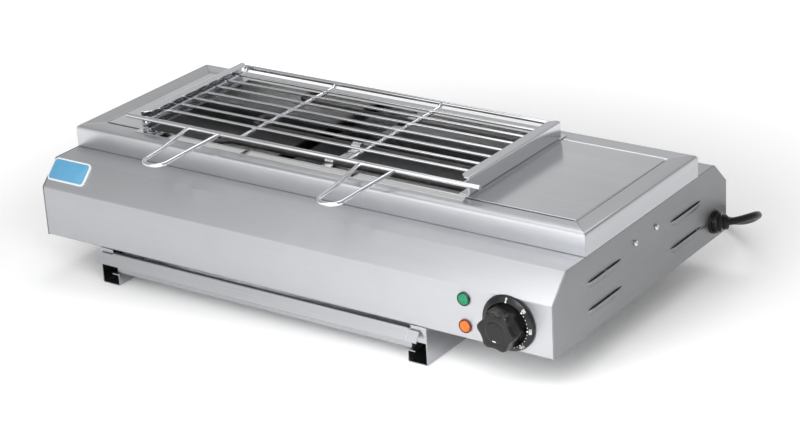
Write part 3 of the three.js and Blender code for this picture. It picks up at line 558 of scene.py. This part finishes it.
cord = {
    "diameter": 8.4,
    "length": 1.82,  # in metres, the rest in millimetres
    "glandExit": (357.5, 166, 64.8),
    "neckLean": 45,  # degrees to the rear
    "coilCentre": (165, 264),
    "coilMiddle": 46,  # radius of the coil's middle turn
    "turnsPerLayer": 2.5,
    "turnPitch": 9.0,
    "coilFloor": 5.4,
    "coilSteps": 24,  # for each turn
    "tail": 62,
    "tailSteps": 6,
    "plugAxis": 19,  # its height
    "smoothSteps": 4,
    "sides": 14,
}
cordRoute = [
    (368.4, 179.3, 64.9),
    (372, 187.5, 64.7),
    (374, 196.5, 63.6),
    (373.5, 206.5, 60.8),
    (370, 217, 56),
    (363, 228, 49),
    (353, 239.5, 40),
    (340, 251.5, 30.5),
    (325, 263.5, 21.5),
    (307, 276, 13.8),
    (287, 288.5, 8.4),
    (265, 300, 5.6),
    (241, 309.5, 4.7),
    (215, 317, 4.9),
    (198, 320.3, 5.3),
]


def coilPath():
    # inward on the lower layer, up to the upper one and outward again
    layer = cord["turnsPerLayer"]
    pitch = cord["turnPitch"]
    outer = cord["coilMiddle"] + layer * pitch / 2
    centreX, centreY = cord["coilCentre"]
    count = round(layer * 2 * cord["coilSteps"])
    path = []
    for index in range(count + 1):
        turns = index / count * layer * 2
        radius = outer - pitch * (layer - abs(turns - layer))
        climb = min(max(0.5 + (turns - layer) * 2, 0), 1)
        angle = math.pi / 2 + turns * math.tau
        path.append(Vector((
            centreX + radius * math.cos(angle),
            centreY + radius * math.sin(angle),
            cord["coilFloor"] + climb * pitch,
        )))
    return path


def cordPath():
    lean = math.radians(cord["neckLean"])
    exitPoint = Vector(cord["glandExit"])
    straight = exitPoint + Vector((math.cos(lean), math.sin(lean), 0)) * cord["diameter"]
    coil = coilPath()
    lead = coil[0] + Vector((cord["diameter"], 0, 0))
    last = coil[-1]
    tail = []
    for step in range(1, cord["tailSteps"] + 1):
        part = step / cord["tailSteps"]
        ease = part * part * (3 - 2 * part)
        tail.append(last + Vector((-cord["tail"] * part, 0, (cord["plugAxis"] - last.z) * ease)))
    end = Vector((last.x - cord["tail"] - cord["diameter"], last.y, cord["plugAxis"]))
    corners = [exitPoint, straight, *map(Vector, cordRoute), lead, *coil, *tail, end]
    return smoothPath([inCasing(*point) for point in corners], cord["smoothSteps"])


def makeCord(path):
    rings = tubeRings(path, cord["diameter"] / 2000, cord["sides"])
    return addPiece(
        "supply_cord", meshFromRings("supply_cord", rings), "cordRubber", "casing", "cord_rubber",
        ("power_cord", "cord_coil"), 60)


cordLine = cordPath()
cordPiece = makeCord(cordLine)
cordReach = sum((b - a).length for a, b in zip(cordLine, cordLine[1:]))
print(f"cord made, {cordReach:.3f} m")


plug = {  # profiles of (radius, distance from the plug's start)
    "gap": 0.3,  # between the cord's end and the plug's start
    "ribs": 5,
    "ribStart": 2.0,
    "ribStep": 3.0,
    "ribProfile": [(5.1, 0.0), (6.2, 0.5), (6.3, 1.5), (5.3, 2.1)],
    "neck": (5.6, 0.0),
    "bodyProfile": [
        (6.6, 17.5), (9.4, 19), (11.4, 34), (13, 39), (17.4, 42.4), (18.3, 45), (18.5, 57.6),
        (17.6, 59), (16.6, 59), (16.2, 57.2), (1.0, 57.2),
    ],
    "rounding": 0.7,
    "bodySides": 48,
    "pinProfile": [(2.4, 56.8), (2.4, 76), (2.2, 77.2), (1.4, 78)],
    "pinsApart": 19.0,
    "pinSides": 20,
}


def makePlug():
    start = cordLine[-1] - Vector((plug["gap"] / 1000, 0, 0))
    away = (-1, 0, 0)
    ribs = []
    for index in range(plug["ribs"]):
        at = plug["ribStart"] + index * plug["ribStep"]
        ribs += [(radius, at + along) for radius, along in plug["ribProfile"]]
    profile = roundedProfile([plug["neck"], *ribs, *plug["bodyProfile"]], plug["rounding"], 2)
    shell = meshFromRings("plug_shell", turnedRings(profile, start, away, plug["bodySides"]))
    addPiece("plug_body", shell, "holderBlack", "casing", "plug_black", ("plug",), 40)
    pins = []
    for side in (-1, 1):
        place = start + Vector((0, side * plug["pinsApart"] / 2000, 0))
        rings = turnedRings(plug["pinProfile"], place, away, plug["pinSides"])
        pins.append(meshFromRings("plug_pin", rings))
    pinMesh = joinMeshes("plug_pins", pins)
    addPiece("plug_pins", pinMesh, "brightMetal", "casing", "bright_metal")


gland = {
    "start": (345.25, 159, 64.8),
    "bend": (352.2, 159, 64.8),  # pulls the middle line round to the rear
    "gap": (0.2, 0.2, 0),  # between the gland's end and the cord's start
    "leanFrom": 0.15,  # share of its length at which the ribs begin to turn
    "leanOver": 0.6,  # share over which they do
    "sides": 32,
    "profile": [  # share of the middle line, radius: a foot, two ribs and the neck
        (0.0, 13.0), (0.0, 13.4), (0.13, 13.35), (0.15, 12.9), (0.16, 10.9), (0.21, 10.7),
        (0.22, 12.2), (0.24, 12.6), (0.35, 12.4), (0.37, 11.9), (0.38, 9.9), (0.42, 9.7),
        (0.43, 10.8), (0.45, 11.2), (0.53, 10.9), (0.55, 10.4), (0.57, 7.6), (0.65, 7.3),
        (0.66, 8.2), (0.68, 8.6), (0.95, 8.5), (1.0, 7.9), (1.0, 5.0),
    ],
}


def makeGland():
    start = Vector(gland["start"])
    bend = Vector(gland["bend"])
    end = Vector(cord["glandExit"]) - Vector(gland["gap"])
    lean = math.radians(cord["neckLean"])
    rings = []
    for part, radius in gland["profile"]:
        centre = curveAt(start, bend, end, part)
        angle = lean * min(1.0, max(0.0, (part - gland["leanFrom"]) / gland["leanOver"]))
        side = Vector((-math.sin(angle), math.cos(angle), 0))
        ring = ringAround(centre, side, Vector((0, 0, 1)), radius, gland["sides"])
        rings.append([inCasing(*point) for point in ring])
    mesh = meshFromRings("cord_gland", rings)
    addPiece("cord_gland", mesh, "cordRubber", "casing", "cord_rubber", ("gland",), 45)


makePlug()
makeGland()
easedCopy("cord_tie", "cordRubber", "casing", 0.0002)
print("plug and gland made")


# Sheet pieces, then the small parts

sheetPieces = {  # paint: body, slot, nodes
    "casingSteel": ("casing", "casing_steel", ["front_panel", "rear_panel"]),
    # the end panels take the casing's steel darkened as painted shade
    "endSteel": ("casing", "casing_steel", ["left_end_panel", "right_end_panel"]),
    "frameSteel": ("casing", "frame_steel", ["front_frame_strip", "rear_frame_strip"]),
    "sideStripSteel": ("casing", "frame_steel", ["left_frame_strip", "right_frame_strip"]),
    "deckSteel": ("casing", "deck_steel", ["left_deck_plate", "right_deck_plate"]),
    "linerSteel": ("casing", "deck_steel", ["well_liner"]),
    "railSteel": ("casing", "rail_steel", [
        "left_rail", "right_rail", "left_slide_strip", "right_slide_strip"]),
    "runnerSteel": ("casing", "runner_steel", ["left_leg_runner", "right_leg_runner"]),
    "traySteel": ("drip_tray", "tray_steel", ["drip_tray"]),
    "innerSteel": ("casing", "inner_steel", [
        "control_partition", "left_bottom_cover", "right_bottom_cover"]),
}
for paint, (body, slot, names) in sheetPieces.items():
    smooth = sheetEdge["louvreSmooth" if paint == "endSteel" else "smooth"]
    for node in names:
        easedCopy(node, paint, body, sheetEdge["width"], smooth)

smallParts = [  # paint, body, slot, width of the eased edges, nodes
    ("railSteel", "casing", "clamp_steel", 0.00022, ["heater_support_bar"]),
    ("brightMetal", "casing", "clamp_steel", 0.00022, [
        "front_heater_clamp", "rear_heater_clamp"]),
    ("phenolic", "casing", "phenolic", 0.0004, ["thermostat_body", "terminal_block"]),
    ("brightMetal", "knob", "bright_metal", 0.0002, ["thermostat_shaft"]),
    ("holderBlack", "casing", "holder_black", 0.0003, ["gland_nut"]),
    ("holderBlack", "casing", "holder_black", 0.0002, [
        "green_lamp_holder", "orange_lamp_holder"]),
    ("brightMetal", "casing", "bright_metal", 0.00012, [
        "left_front_screw", "left_rear_screw", "right_front_screw", "right_rear_screw"]),
]
for paint, body, slot, width, names in smallParts:
    for node in names:
        easedCopy(node, paint, body, width)
print("sheet pieces and small parts eased")


# Geometry Nodes: a tree is run on a mesh of points or edges and leaves a plain mesh

def newTree(name, inputs):
    tree = bpy.data.node_groups.new(name, "GeometryNodeTree")
    tree.interface.new_socket("Geometry", in_out="INPUT", socket_type="NodeSocketGeometry")
    for label, kind, value in inputs:
        socket = tree.interface.new_socket(label, in_out="INPUT", socket_type=kind)
        socket.default_value = value
    tree.interface.new_socket("Geometry", in_out="OUTPUT", socket_type="NodeSocketGeometry")
    return tree


class Builder(Web):
    def __init__(self, tree):
        super().__init__(tree)
        self.source = tree.nodes.new("NodeGroupInput")
        self.result = tree.nodes.new("NodeGroupOutput")

    def given(self, label):
        return Link(self, self.source.outputs[label])

    def attribute(self, name, kind="FLOAT"):
        return self.node("GeometryNodeInputNamedAttribute", {"data_type": kind}, {"Name": name})

    def finish(self, geometry, material):
        whole = self.node("GeometryNodeRealizeInstances", {}, {"Geometry": geometry})
        painted = self.node(
            "GeometryNodeSetMaterial", {}, {"Geometry": whole, "Material": material})
        self.connect(self.result.inputs["Geometry"], painted)


def runTree(name, tree, mesh, settings):
    carrier = bpy.data.objects.new(name + "_carrier", mesh)
    bpy.context.collection.objects.link(carrier)
    modifier = carrier.modifiers.new(name, "NODES")
    modifier.node_group = tree
    for item in tree.interface.items_tree:
        if item.item_type == "SOCKET" and item.in_out == "INPUT" and item.name in settings:
            modifier[item.identifier] = settings[item.name]
    depsgraph = bpy.context.evaluated_depsgraph_get()
    result = bpy.data.meshes.new_from_object(carrier.evaluated_get(depsgraph))
    result.name = name
    bpy.data.objects.remove(carrier)
    return result


def edgeMesh(name, lines):
    # a chain of edges for each line of (points, radius), with the radius on every point
    mesh = bpy.data.meshes.new(name)
    points = []
    edges = []
    radii = []
    for line, radius in lines:
        edges += [(index, index + 1) for index in range(len(points), len(points) + len(line) - 1)]
        points += [inCasing(*point) for point in line]
        radii += [radius / 1000] * len(line)
    mesh.from_pydata(points, edges, [])
    attribute = mesh.attributes.new("thickness", "FLOAT", "POINT")
    attribute.data.foreach_set("value", radii)
    return mesh


def wireTree(name, material):
    # sweeps a round section along the edges and closes its ends
    tree = newTree(name, [("Sides", "NodeSocketInt", 12)])
    build = Builder(tree)
    curve = build.node("GeometryNodeMeshToCurve", {}, {"Mesh": build.given("Geometry")})
    section = build.node(
        "GeometryNodeCurvePrimitiveCircle", {"mode": "RADIUS"},
        {"Resolution": build.given("Sides"), "Radius": 1.0})
    tube = build.node(
        "GeometryNodeCurveToMesh", {},
        {"Curve": curve, "Profile Curve": section, "Scale": build.attribute("thickness"),
         "Fill Caps": True})
    build.finish(tube, material)
    return tree


# Grate

grate = {
    "wireCount": 7,
    "wireStep": 22.4,
    "firstWireY": 70.5,
    "wireFromX": -262.0,
    "wireToX": 183.0,
    "rodZ": 174.2,
    "wireRadius": 1.75,
    "barRadius": 2.5,
    "barXs": (-257, -124, 27, 178),
    "barBend": 6.0,  # the bars rise over this length to meet the end rods
    "barInset": 1.0,  # the bars end this far inside the middles of the end rods
    "sunk": 0.2,  # how far a wire is melted into a bar
    "frontRod": (-283, 205, -98),  # from x, to x, y
    "rearRod": (-262, 183, 97),
    "rodRadius": 2.75,
    "sides": 16,
    "weldProfile": [(0.4, -0.9), (1.7, -0.6), (2.3, 0.0), (1.7, 0.6), (0.4, 0.9)],
    "weldSides": 10,
}
wireYs = [grate["firstWireY"] - index * grate["wireStep"] for index in range(grate["wireCount"])]
barTop = grate["rodZ"] - grate["wireRadius"]


def makeGrate(tree):
    z = grate["rodZ"]
    ends = grate["wireFromX"], grate["wireToX"]
    lines = [([(x, y, z) for x in ends], grate["wireRadius"]) for y in wireYs]
    barZ = barTop - grate["barRadius"] + grate["sunk"]
    fromY = grate["frontRod"][2] + grate["barInset"]
    toY = grate["rearRod"][2] - grate["barInset"]
    bend = grate["barBend"]
    for x in grate["barXs"]:
        bar = [(x, fromY, z), (x, fromY + bend, barZ), (x, toY - bend, barZ), (x, toY, z)]
        lines.append((bar, grate["barRadius"]))
    for fromX, toX, y in (grate["frontRod"], grate["rearRod"]):
        lines.append(([(fromX, y, z), (toX, y, z)], grate["rodRadius"]))
    mesh = runTree("rod_grate", tree, edgeMesh("grate_lines", lines), {"Sides": grate["sides"]})
    addPiece("rod_grate", mesh, "wireChrome", "grate", "wire_chrome", ("grate",), 40)


def makeWelds():
    # a small bead where each wire crosses a bar
    beads = []
    for x in grate["barXs"]:
        for y in wireYs:
            rings = turnedRings(
                grate["weldProfile"], inCasing(x, y, barTop), (0, 0, 1), grate["weldSides"])
            beads.append(meshFromRings("weld", rings))
    mesh = joinMeshes("grate_welds", beads)
    addPiece("grate_welds", mesh, "wireChrome", "grate", "wire_chrome", (), 60)


handles = {
    "centres": {"left_handle": -168, "right_handle": 73},
    "end": (22.5, -100.9, 173.2),  # the right half's corners, from the front rod to the tip
    "elbow": (15.8, -155, 169),
    "tip": (13.8, -194.5, 167),
    "bendRadius": 12,
    "bendSteps": 10,
}


def makeHandles(tree):
    right = [handles["tip"], handles["elbow"], handles["end"]]
    left = [(-x, y, z) for x, y, z in reversed(right)]
    for name, centreX in handles["centres"].items():
        corners = [(centreX + x, y, z) for x, y, z in left + right]
        path = roundedPath(corners, handles["bendRadius"], handles["bendSteps"])
        lines = edgeMesh(name + "_line", [(path, grate["barRadius"])])
        mesh = runTree(name + "_rod", tree, lines, {"Sides": grate["sides"]})
        addPiece(name + "_rod", mesh, "wireChrome", "grate", "wire_chrome", (name,), 40)


chromeWires = wireTree("bentWires", paints["wireChrome"])
makeGrate(chromeWires)
makeWelds()
makeHandles(chromeWires)
print("grate made")


# Heaters

heaters = {
    "radius": 3.4,
    "z": 133,
    "innerY": 26,
    "outerY": 67.5,
    "leftEnd": -204,
    "rightEnd": 203,
    "bendSteps": 24,
    "sides": 18,
}


def makeHeaters():
    bendRadius = (heaters["outerY"] - heaters["innerY"]) / 2
    bendX = heaters["leftEnd"] + bendRadius
    z = heaters["z"]
    tree = wireTree("hairpins", paints["heaterSheath"])
    for name, side in (("front_heater", -1), ("rear_heater", 1)):
        middleY = side * (heaters["outerY"] + heaters["innerY"]) / 2
        path = [(heaters["rightEnd"], middleY - bendRadius, z)]
        for step in range(heaters["bendSteps"] + 1):
            angle = math.pi * step / heaters["bendSteps"]
            path.append((
                bendX - bendRadius * math.sin(angle), middleY - bendRadius * math.cos(angle), z))
        path.append((heaters["rightEnd"], middleY + bendRadius, z))
        lines = edgeMesh(name + "_line", [(path, heaters["radius"])])
        mesh = runTree(name + "_tube", tree, lines, {"Sides": heaters["sides"]})
        addPiece(name + "_tube", mesh, "heaterSheath", "casing", "heater_sheath", (name,), 50)


makeHeaters()
print("heaters made")


# Knob: a dial skirt, a lobed grip and its printed marks

knob = {
    "x": 293,
    "z": 76.2,
    "back": -187.8,
    "face": -215.9,
    "skirtRim": [(3.4, 0.0), (30.6, 0.0), (31.2, 0.7), (31.2, 1.7)],  # radius, way from the back
    "dialOuter": (30.2, 3.5),  # the printed face lies between these two
    "dialInner": (24.9, 6.3),
    "skirtInside": [(24.0, 6.2), (23.6, 3.2), (21.0, 2.6), (3.4, 2.6)],
    "skirtRounding": 0.5,
    "skirtSteps": 96,
    "gripProfile": [  # distance behind the face, radius, depth of the lobes
        (25.4, 20.4, 0.4), (22.6, 21.0, 1.1), (19.1, 21.3, 1.6), (5.0, 21.1, 1.75),
        (2.8, 20.7, 1.75), (1.6, 20.2, 1.7), (0.9, 19.5, 1.6), (0.55, 18.7, 1.4),
        (0.45, 16.0, 0.7), (0.45, 14.2, 0.0), (0.55, 13.4, 0.0), (0.8, 12.8, 0.0),
        (0.9, 12.2, 0.0), (0.75, 11.6, 0.0), (0.3, 11.0, 0.0), (0.08, 10.2, 0.0),
        (0.0, 8.0, 0.0), (0.0, 2.0, 0.0),
    ],
    "lobes": 6,
    "firstLobe": 174,  # degrees
    "scoop": 0.25,  # hollows out the flanks between the lobes
    "stepsPerLobe": 20,
}
dial = {
    "marks": ("0", "50", "100", "150", "200", "250"),
    "firstMark": 89,  # degrees from the right, counted upwards
    "markStep": -46.8,
    "markRadius": 27.9,
    "markSize": 4.4,
    "markWeight": 0.1,
    "markDepth": 0.05,
    "markLift": 0.02,
    "dotsPerMark": 5,
    "dotRing": 25.45,
    "dotRadius": 0.46,
    "dotDepth": 0.12,
    "dotLift": 0.03,
    "pointerAngle": -94,
    "pointerSpread": 0.42,  # in radians
    "pointerSteps": 8,
    "pointerSection": [  # radius, height above the grip's face
        (9.2, -0.02), (9.2, 0.08), (10.3, 0.08), (10.3, -0.1),
    ],
}
knobDepth = knob["back"] - knob["face"]


def knobPoint(radius, angle, along):
    return inCasing(
        knob["x"] + radius * math.cos(angle),
        knob["back"] - along,
        knob["z"] + radius * math.sin(angle),
    )


def makeSkirt():
    corners = [*knob["skirtRim"], knob["dialOuter"], knob["dialInner"], *knob["skirtInside"]]
    profile = roundedProfile(corners, knob["skirtRounding"])
    steps = knob["skirtSteps"]
    rings = [
        [knobPoint(radius, step / steps * math.tau, along) for step in range(steps)]
        for radius, along in profile
    ]
    mesh = meshFromRings("dial_skirt", rings, closed=True)
    addPiece("dial_skirt", mesh, "knobBlack", "knob", "knob_black", ("knob",), 50)


def makeGrip():
    steps = knob["lobes"] * knob["stepsPerLobe"]
    firstLobe = math.radians(knob["firstLobe"])
    rings = []
    for behind, radius, lobe in knob["gripProfile"]:
        ring = []
        for step in range(steps):
            angle = step / steps * math.tau
            wave = math.cos(knob["lobes"] * (angle - firstLobe))
            scoop = wave - knob["scoop"] * (1 - wave) * (1 + wave)
            ring.append(knobPoint(radius + lobe * scoop, angle, knobDepth - behind))
        rings.append(ring)
    mesh = meshFromRings("knob_grip", rings)
    addPiece("knob_grip", mesh, "knobBlack", "knob", "knob_black", (), 45)


def dialTree(material):
    # a flat round dot on every point, facing as the point's attribute says
    tree = newTree("dialDots", [
        ("Radius", "NodeSocketFloat", 0.0003), ("Depth", "NodeSocketFloat", 0.0001),
        ("Sides", "NodeSocketInt", 10),
    ])
    build = Builder(tree)
    dot = build.node(
        "GeometryNodeMeshCylinder", {"fill_type": "NGON"},
        {"Vertices": build.given("Sides"), "Side Segments": 1, "Radius": build.given("Radius"),
         "Depth": build.given("Depth")})
    turn = build.node(
        "FunctionNodeAlignRotationToVector", {"axis": "Z"},
        {"Vector": build.attribute("facing", "FLOAT_VECTOR")})
    placed = build.node(
        "GeometryNodeInstanceOnPoints", {},
        {"Points": build.given("Geometry"), "Instance": dot, "Rotation": turn,
         "Scale": build.attribute("size")})
    build.finish(placed, material)
    return tree


def dialPlace(radius, angle, lift):
    # a point a little above the dial's sloping face, and the way that the face looks there
    outerRadius, outerAlong = knob["dialOuter"]
    innerRadius, innerAlong = knob["dialInner"]
    tilt = math.atan2(innerAlong - outerAlong, outerRadius - innerRadius)
    along = outerAlong + (outerRadius - radius) * math.tan(tilt) + lift
    outward = Vector((math.cos(angle), 0, math.sin(angle)))
    facing = outward * math.sin(tilt) + Vector((0, -1, 0)) * math.cos(tilt)
    return knobPoint(radius, angle, along), facing.normalized()


def makeDots():
    # a large dot at each number and small ones between, from the second number on
    each = dial["dotsPerMark"]
    indices = [0, *range(each, (len(dial["marks"]) - 1) * each + 1)]
    angles = [math.radians(dial["firstMark"] + index / each * dial["markStep"])
              for index in indices]
    places = [dialPlace(dial["dotRing"], angle, dial["dotLift"]) for angle in angles]
    mesh = bpy.data.meshes.new("dial_points")
    mesh.from_pydata([point for point, facing in places], [], [])
    facings = mesh.attributes.new("facing", "FLOAT_VECTOR", "POINT")
    facings.data.foreach_set("vector", [part for point, facing in places for part in facing])
    sizes = mesh.attributes.new("size", "FLOAT", "POINT")
    sizes.data.foreach_set("value", [1.0 if index % each else 2.0 for index in indices])
    result = runTree("dial_dots", dialTree(paints["markWhite"]), mesh, {
        "Radius": dial["dotRadius"] / 1000, "Depth": dial["dotDepth"] / 1000})
    addPiece("dial_dots", result, "markWhite", "knob", "knob_black", (), 30)


def textMesh(words):
    curve = bpy.data.curves.new("mark", "FONT")
    curve.body = words
    curve.size = dial["markSize"] / 1000
    curve.extrude = dial["markDepth"] / 1000
    curve.offset = dial["markWeight"] / 1000
    curve.align_x = "CENTER"
    curve.align_y = "CENTER"
    curve.resolution_u = 3
    carrier = bpy.data.objects.new("mark", curve)
    bpy.context.collection.objects.link(carrier)
    depsgraph = bpy.context.evaluated_depsgraph_get()
    mesh = bpy.data.meshes.new_from_object(carrier.evaluated_get(depsgraph))
    bpy.data.objects.remove(carrier)
    return mesh


def makeNumbers():
    meshes = []
    for index, words in enumerate(dial["marks"]):
        angle = math.radians(dial["firstMark"] + index * dial["markStep"])
        place, facing = dialPlace(dial["markRadius"], angle, dial["markLift"])
        across = Vector((math.sin(angle), 0, -math.cos(angle)))
        up = facing.cross(across).normalized()
        mesh = textMesh(words)
        mesh.transform(Matrix((across, up, facing)).transposed().to_4x4())
        mesh.transform(Matrix.Translation(place))
        meshes.append(mesh)
    mesh = joinMeshes("dial_numbers", meshes)
    addPiece("dial_numbers", mesh, "markWhite", "knob", "knob_black", (), 30)


def makePointer():
    # a short white bar near the rim of the grip's face
    steps = dial["pointerSteps"]
    rings = []
    for step in range(steps + 1):
        angle = math.radians(dial["pointerAngle"]) + (step / steps - 0.5) * dial["pointerSpread"]
        rings.append([
            knobPoint(radius, angle, knobDepth + lift) for radius, lift in dial["pointerSection"]
        ])
    mesh = meshFromRings("knob_pointer", rings)
    addPiece("knob_pointer", mesh, "markWhite", "knob", "knob_black", (), 30)


makeSkirt()
makeGrip()
makeDots()
makeNumbers()
makePointer()
print("knob made")


# Lamps

lamps = {  # profiles of (radius, distance from the panel's face)
    "front": -187,
    "sides": 48,
    "lens": [(5.3, -6.0), (5.3, 0.6), (6.3, 0.6), (6.3, 1.9), (5.5, 2.5), (3.4, 3.0), (1.0, 3.2)],
    "lensRounding": (0.4, 3),  # radius, steps
    "rim": [(6.45, 0.3), (7.4, 0.3), (7.7, 0.6), (7.7, 1.5), (7.3, 2.2), (6.8, 2.4), (6.45, 2.1)],
    "rimRounding": (0.2, 2),
    "places": {"green": (238.4, 90.3), "orange": (239, 59.7)},
}


def makeLamps():
    for colour, (x, z) in lamps["places"].items():
        name = colour + "_lamp"
        place = inCasing(x, lamps["front"], z)
        for part, replaced in (("lens", (name,)), ("rim", ())):
            profile = roundedProfile(lamps[part], *lamps[part + "Rounding"])
            rings = turnedRings(profile, place, (0, -1, 0), lamps["sides"])
            mesh = meshFromRings(f"{name}_{part}", rings, closed=part == "rim")
            addPiece(
                f"{name}_{part}", mesh, colour + part.capitalize(), "casing", colour + "_lens",
                replaced, 40)


makeLamps()
print("lamps made")


# The bare plate on the slope

slope = {"y": -187, "z": 105}  # its lower edge; it rises at 45 degrees
plate = {
    "fromX": -343.6,
    "toX": -287.3,
    "low": 6.9,  # rise above the slope's lower edge
    "high": 27.2,
    "thick": 2.0,
    "rim": 1.7,
    "corner": 5.0,
    "leastCorner": 0.6,
    "cornerSteps": 6,
    "edge": 0.5,
    "riseShare": 0.707,  # rise for each millimetre along the slope
    "rimFoot": 0.05,
    "faceSunk": 0.4,
    "faceProud": 0.12,
}


def roundedBox(fromX, toX, low, high, corner, steps):
    points = []
    for centreX, centreY, start in (
        (toX - corner, high - corner, 0), (fromX + corner, high - corner, 90),
        (fromX + corner, low + corner, 180), (toX - corner, low + corner, 270),
    ):
        for step in range(steps + 1):
            angle = math.radians(start + 90 * step / steps)
            points.append((
                centreX + corner * math.cos(angle),
                centreY + corner * math.sin(angle),
            ))
    return points


def onSlope(x, rise, out):
    # a point on the front slope, or out from it and square to it
    diagonal = out * math.sqrt(0.5)
    return inCasing(x, slope["y"] + rise - diagonal, slope["z"] + rise + diagonal)


def platePiece(name, inset, low, high, paint):
    edge = plate["edge"]
    rings = []
    for shrink, out in (
        (0.0, low), (0.0, high - edge), (edge * 0.35, high - edge * 0.3), (edge, high),
    ):
        side = inset + shrink
        rise = side * plate["riseShare"]
        corner = max(plate["corner"] - side, plate["leastCorner"])
        outline = roundedBox(
            plate["fromX"] + side, plate["toX"] - side, plate["low"] + rise,
            plate["high"] - rise, corner, plate["cornerSteps"])
        rings.append([onSlope(x, rise, out) for x, rise in outline])
    addPiece(name, meshFromRings(name, rings), paint, "casing", "casing_steel")


platePiece("plate_rim", 0.0, plate["rimFoot"], plate["thick"], "plateWhite")
platePiece(
    "plate_face", plate["rim"], plate["thick"] - plate["faceSunk"],
    plate["thick"] + plate["faceProud"], "plateBlue")
print("plate made")


# Stage: floor, world and lights

stage = {
    "floor": 14.0,
    "floorShade": 0.8,
    "floorSeen": 0.98,  # its shade as the camera sees it, straight or in the metal
    "floorGlow": (0.06, 0.46),  # near and far, for the same rays
    "glowReach": (0.5, 0.9),
    "worldRise": [(0.0, 0.8), (0.35, 0.78), (0.75, 0.5), (1.0, 0.45)],
    "worldSide": [(0.0, 0.7), (0.25, 0.84), (0.55, 0.95), (0.8, 0.62), (1.0, 0.55)],
}


def makeFloor():
    half = stage["floor"]
    corners = [(-half, -half, 0), (half, -half, 0), (half, half, 0), (-half, half, 0)]
    mesh = bpy.data.meshes.new("floor")
    mesh.from_pydata(corners, [], [(0, 1, 2, 3)])
    floor = bpy.data.objects.new("floor", mesh)
    bpy.context.collection.objects.link(floor)
    paint = Paint("floorPale", Roughness=0.9, Specular_IOR_Level=0.1, Emission_Strength=1.0)
    rays = [paint.node("ShaderNodeLightPath", output=f"Is {kind} Ray")
            for kind in ("Camera", "Glossy", "Transmission")]
    seen = rays[0] + rays[1] + rays[2]
    distance = paint.node(
        "ShaderNodeVectorMath", {"operation": "LENGTH"}, {0: paint.place()}, output="Value")
    glow = paint.range(distance, *stage["glowReach"], *stage["floorGlow"])
    paint.feed("Base Color", paint.mix(seen, grey(stage["floorShade"]), grey(stage["floorSeen"])))
    paint.feed("Emission Color", paint.mix(seen * glow, grey(0), grey(1)))
    mesh.materials.append(paint.material)


def makeWorld():
    # pale near the horizon, dimmer overhead and to the right
    world = bpy.data.worlds.new("studio")
    bpy.context.scene.world = world
    world.use_nodes = True
    web = Web(world.node_tree)
    way = web.node("ShaderNodeTexCoord", output="Generated")
    rise = web.node("ShaderNodeSeparateXYZ", {}, {0: way}, output="Z")
    side = web.node("ShaderNodeSeparateXYZ", {}, {0: way}, output="X")
    tall = web.ramp(rise, [(place, grey(level)) for place, level in stage["worldRise"]])
    wide = web.ramp(
        side * 0.5 + 0.5, [(place, grey(level)) for place, level in stage["worldSide"]])
    background = world.node_tree.nodes["Background"]
    web.connect(background.inputs["Color"], web.mix(1.0, tall, wide, "MULTIPLY"))
    background.inputs["Strength"].default_value = 1.0


lights = {
    "key": {"place": (0.02, -0.85, 1.5), "aim": (0.1, -0.6, 0.1), "size": (1.7, 1.2),
            "power": 5.6},
    "front": {"place": (-0.3, -1.95, 0.95), "aim": (-0.1, -0.1, 0.2), "size": (2.3, 1.9),
              "power": 11.0},
    "low": {"place": (0.44, -0.6, 0.45), "aim": (0.36, -0.36, 0), "size": (0.5, 0.4),
            "power": 4.3},
    "top": {"place": (-0.35, 0.75, 1.9), "aim": (0.05, -0.05, 0.1), "size": (1.4, 1.0),
            "power": 9.0},
}


def makeLights():
    for name, facts in lights.items():
        data = bpy.data.lights.new(name, "AREA")
        data.shape = "RECTANGLE"
        data.size, data.size_y = facts["size"]
        data.energy = facts["power"]
        lamp = bpy.data.objects.new(name, data)
        aim = Vector(facts["aim"]) - Vector(facts["place"])
        lamp.rotation_euler = aim.to_track_quat("-Z", "Y").to_euler()
        lamp.location = facts["place"]
        bpy.context.collection.objects.link(lamp)


makeFloor()
makeWorld()
makeLights()
bpy.context.scene.view_settings.view_transform = "Standard"
print("stage made")
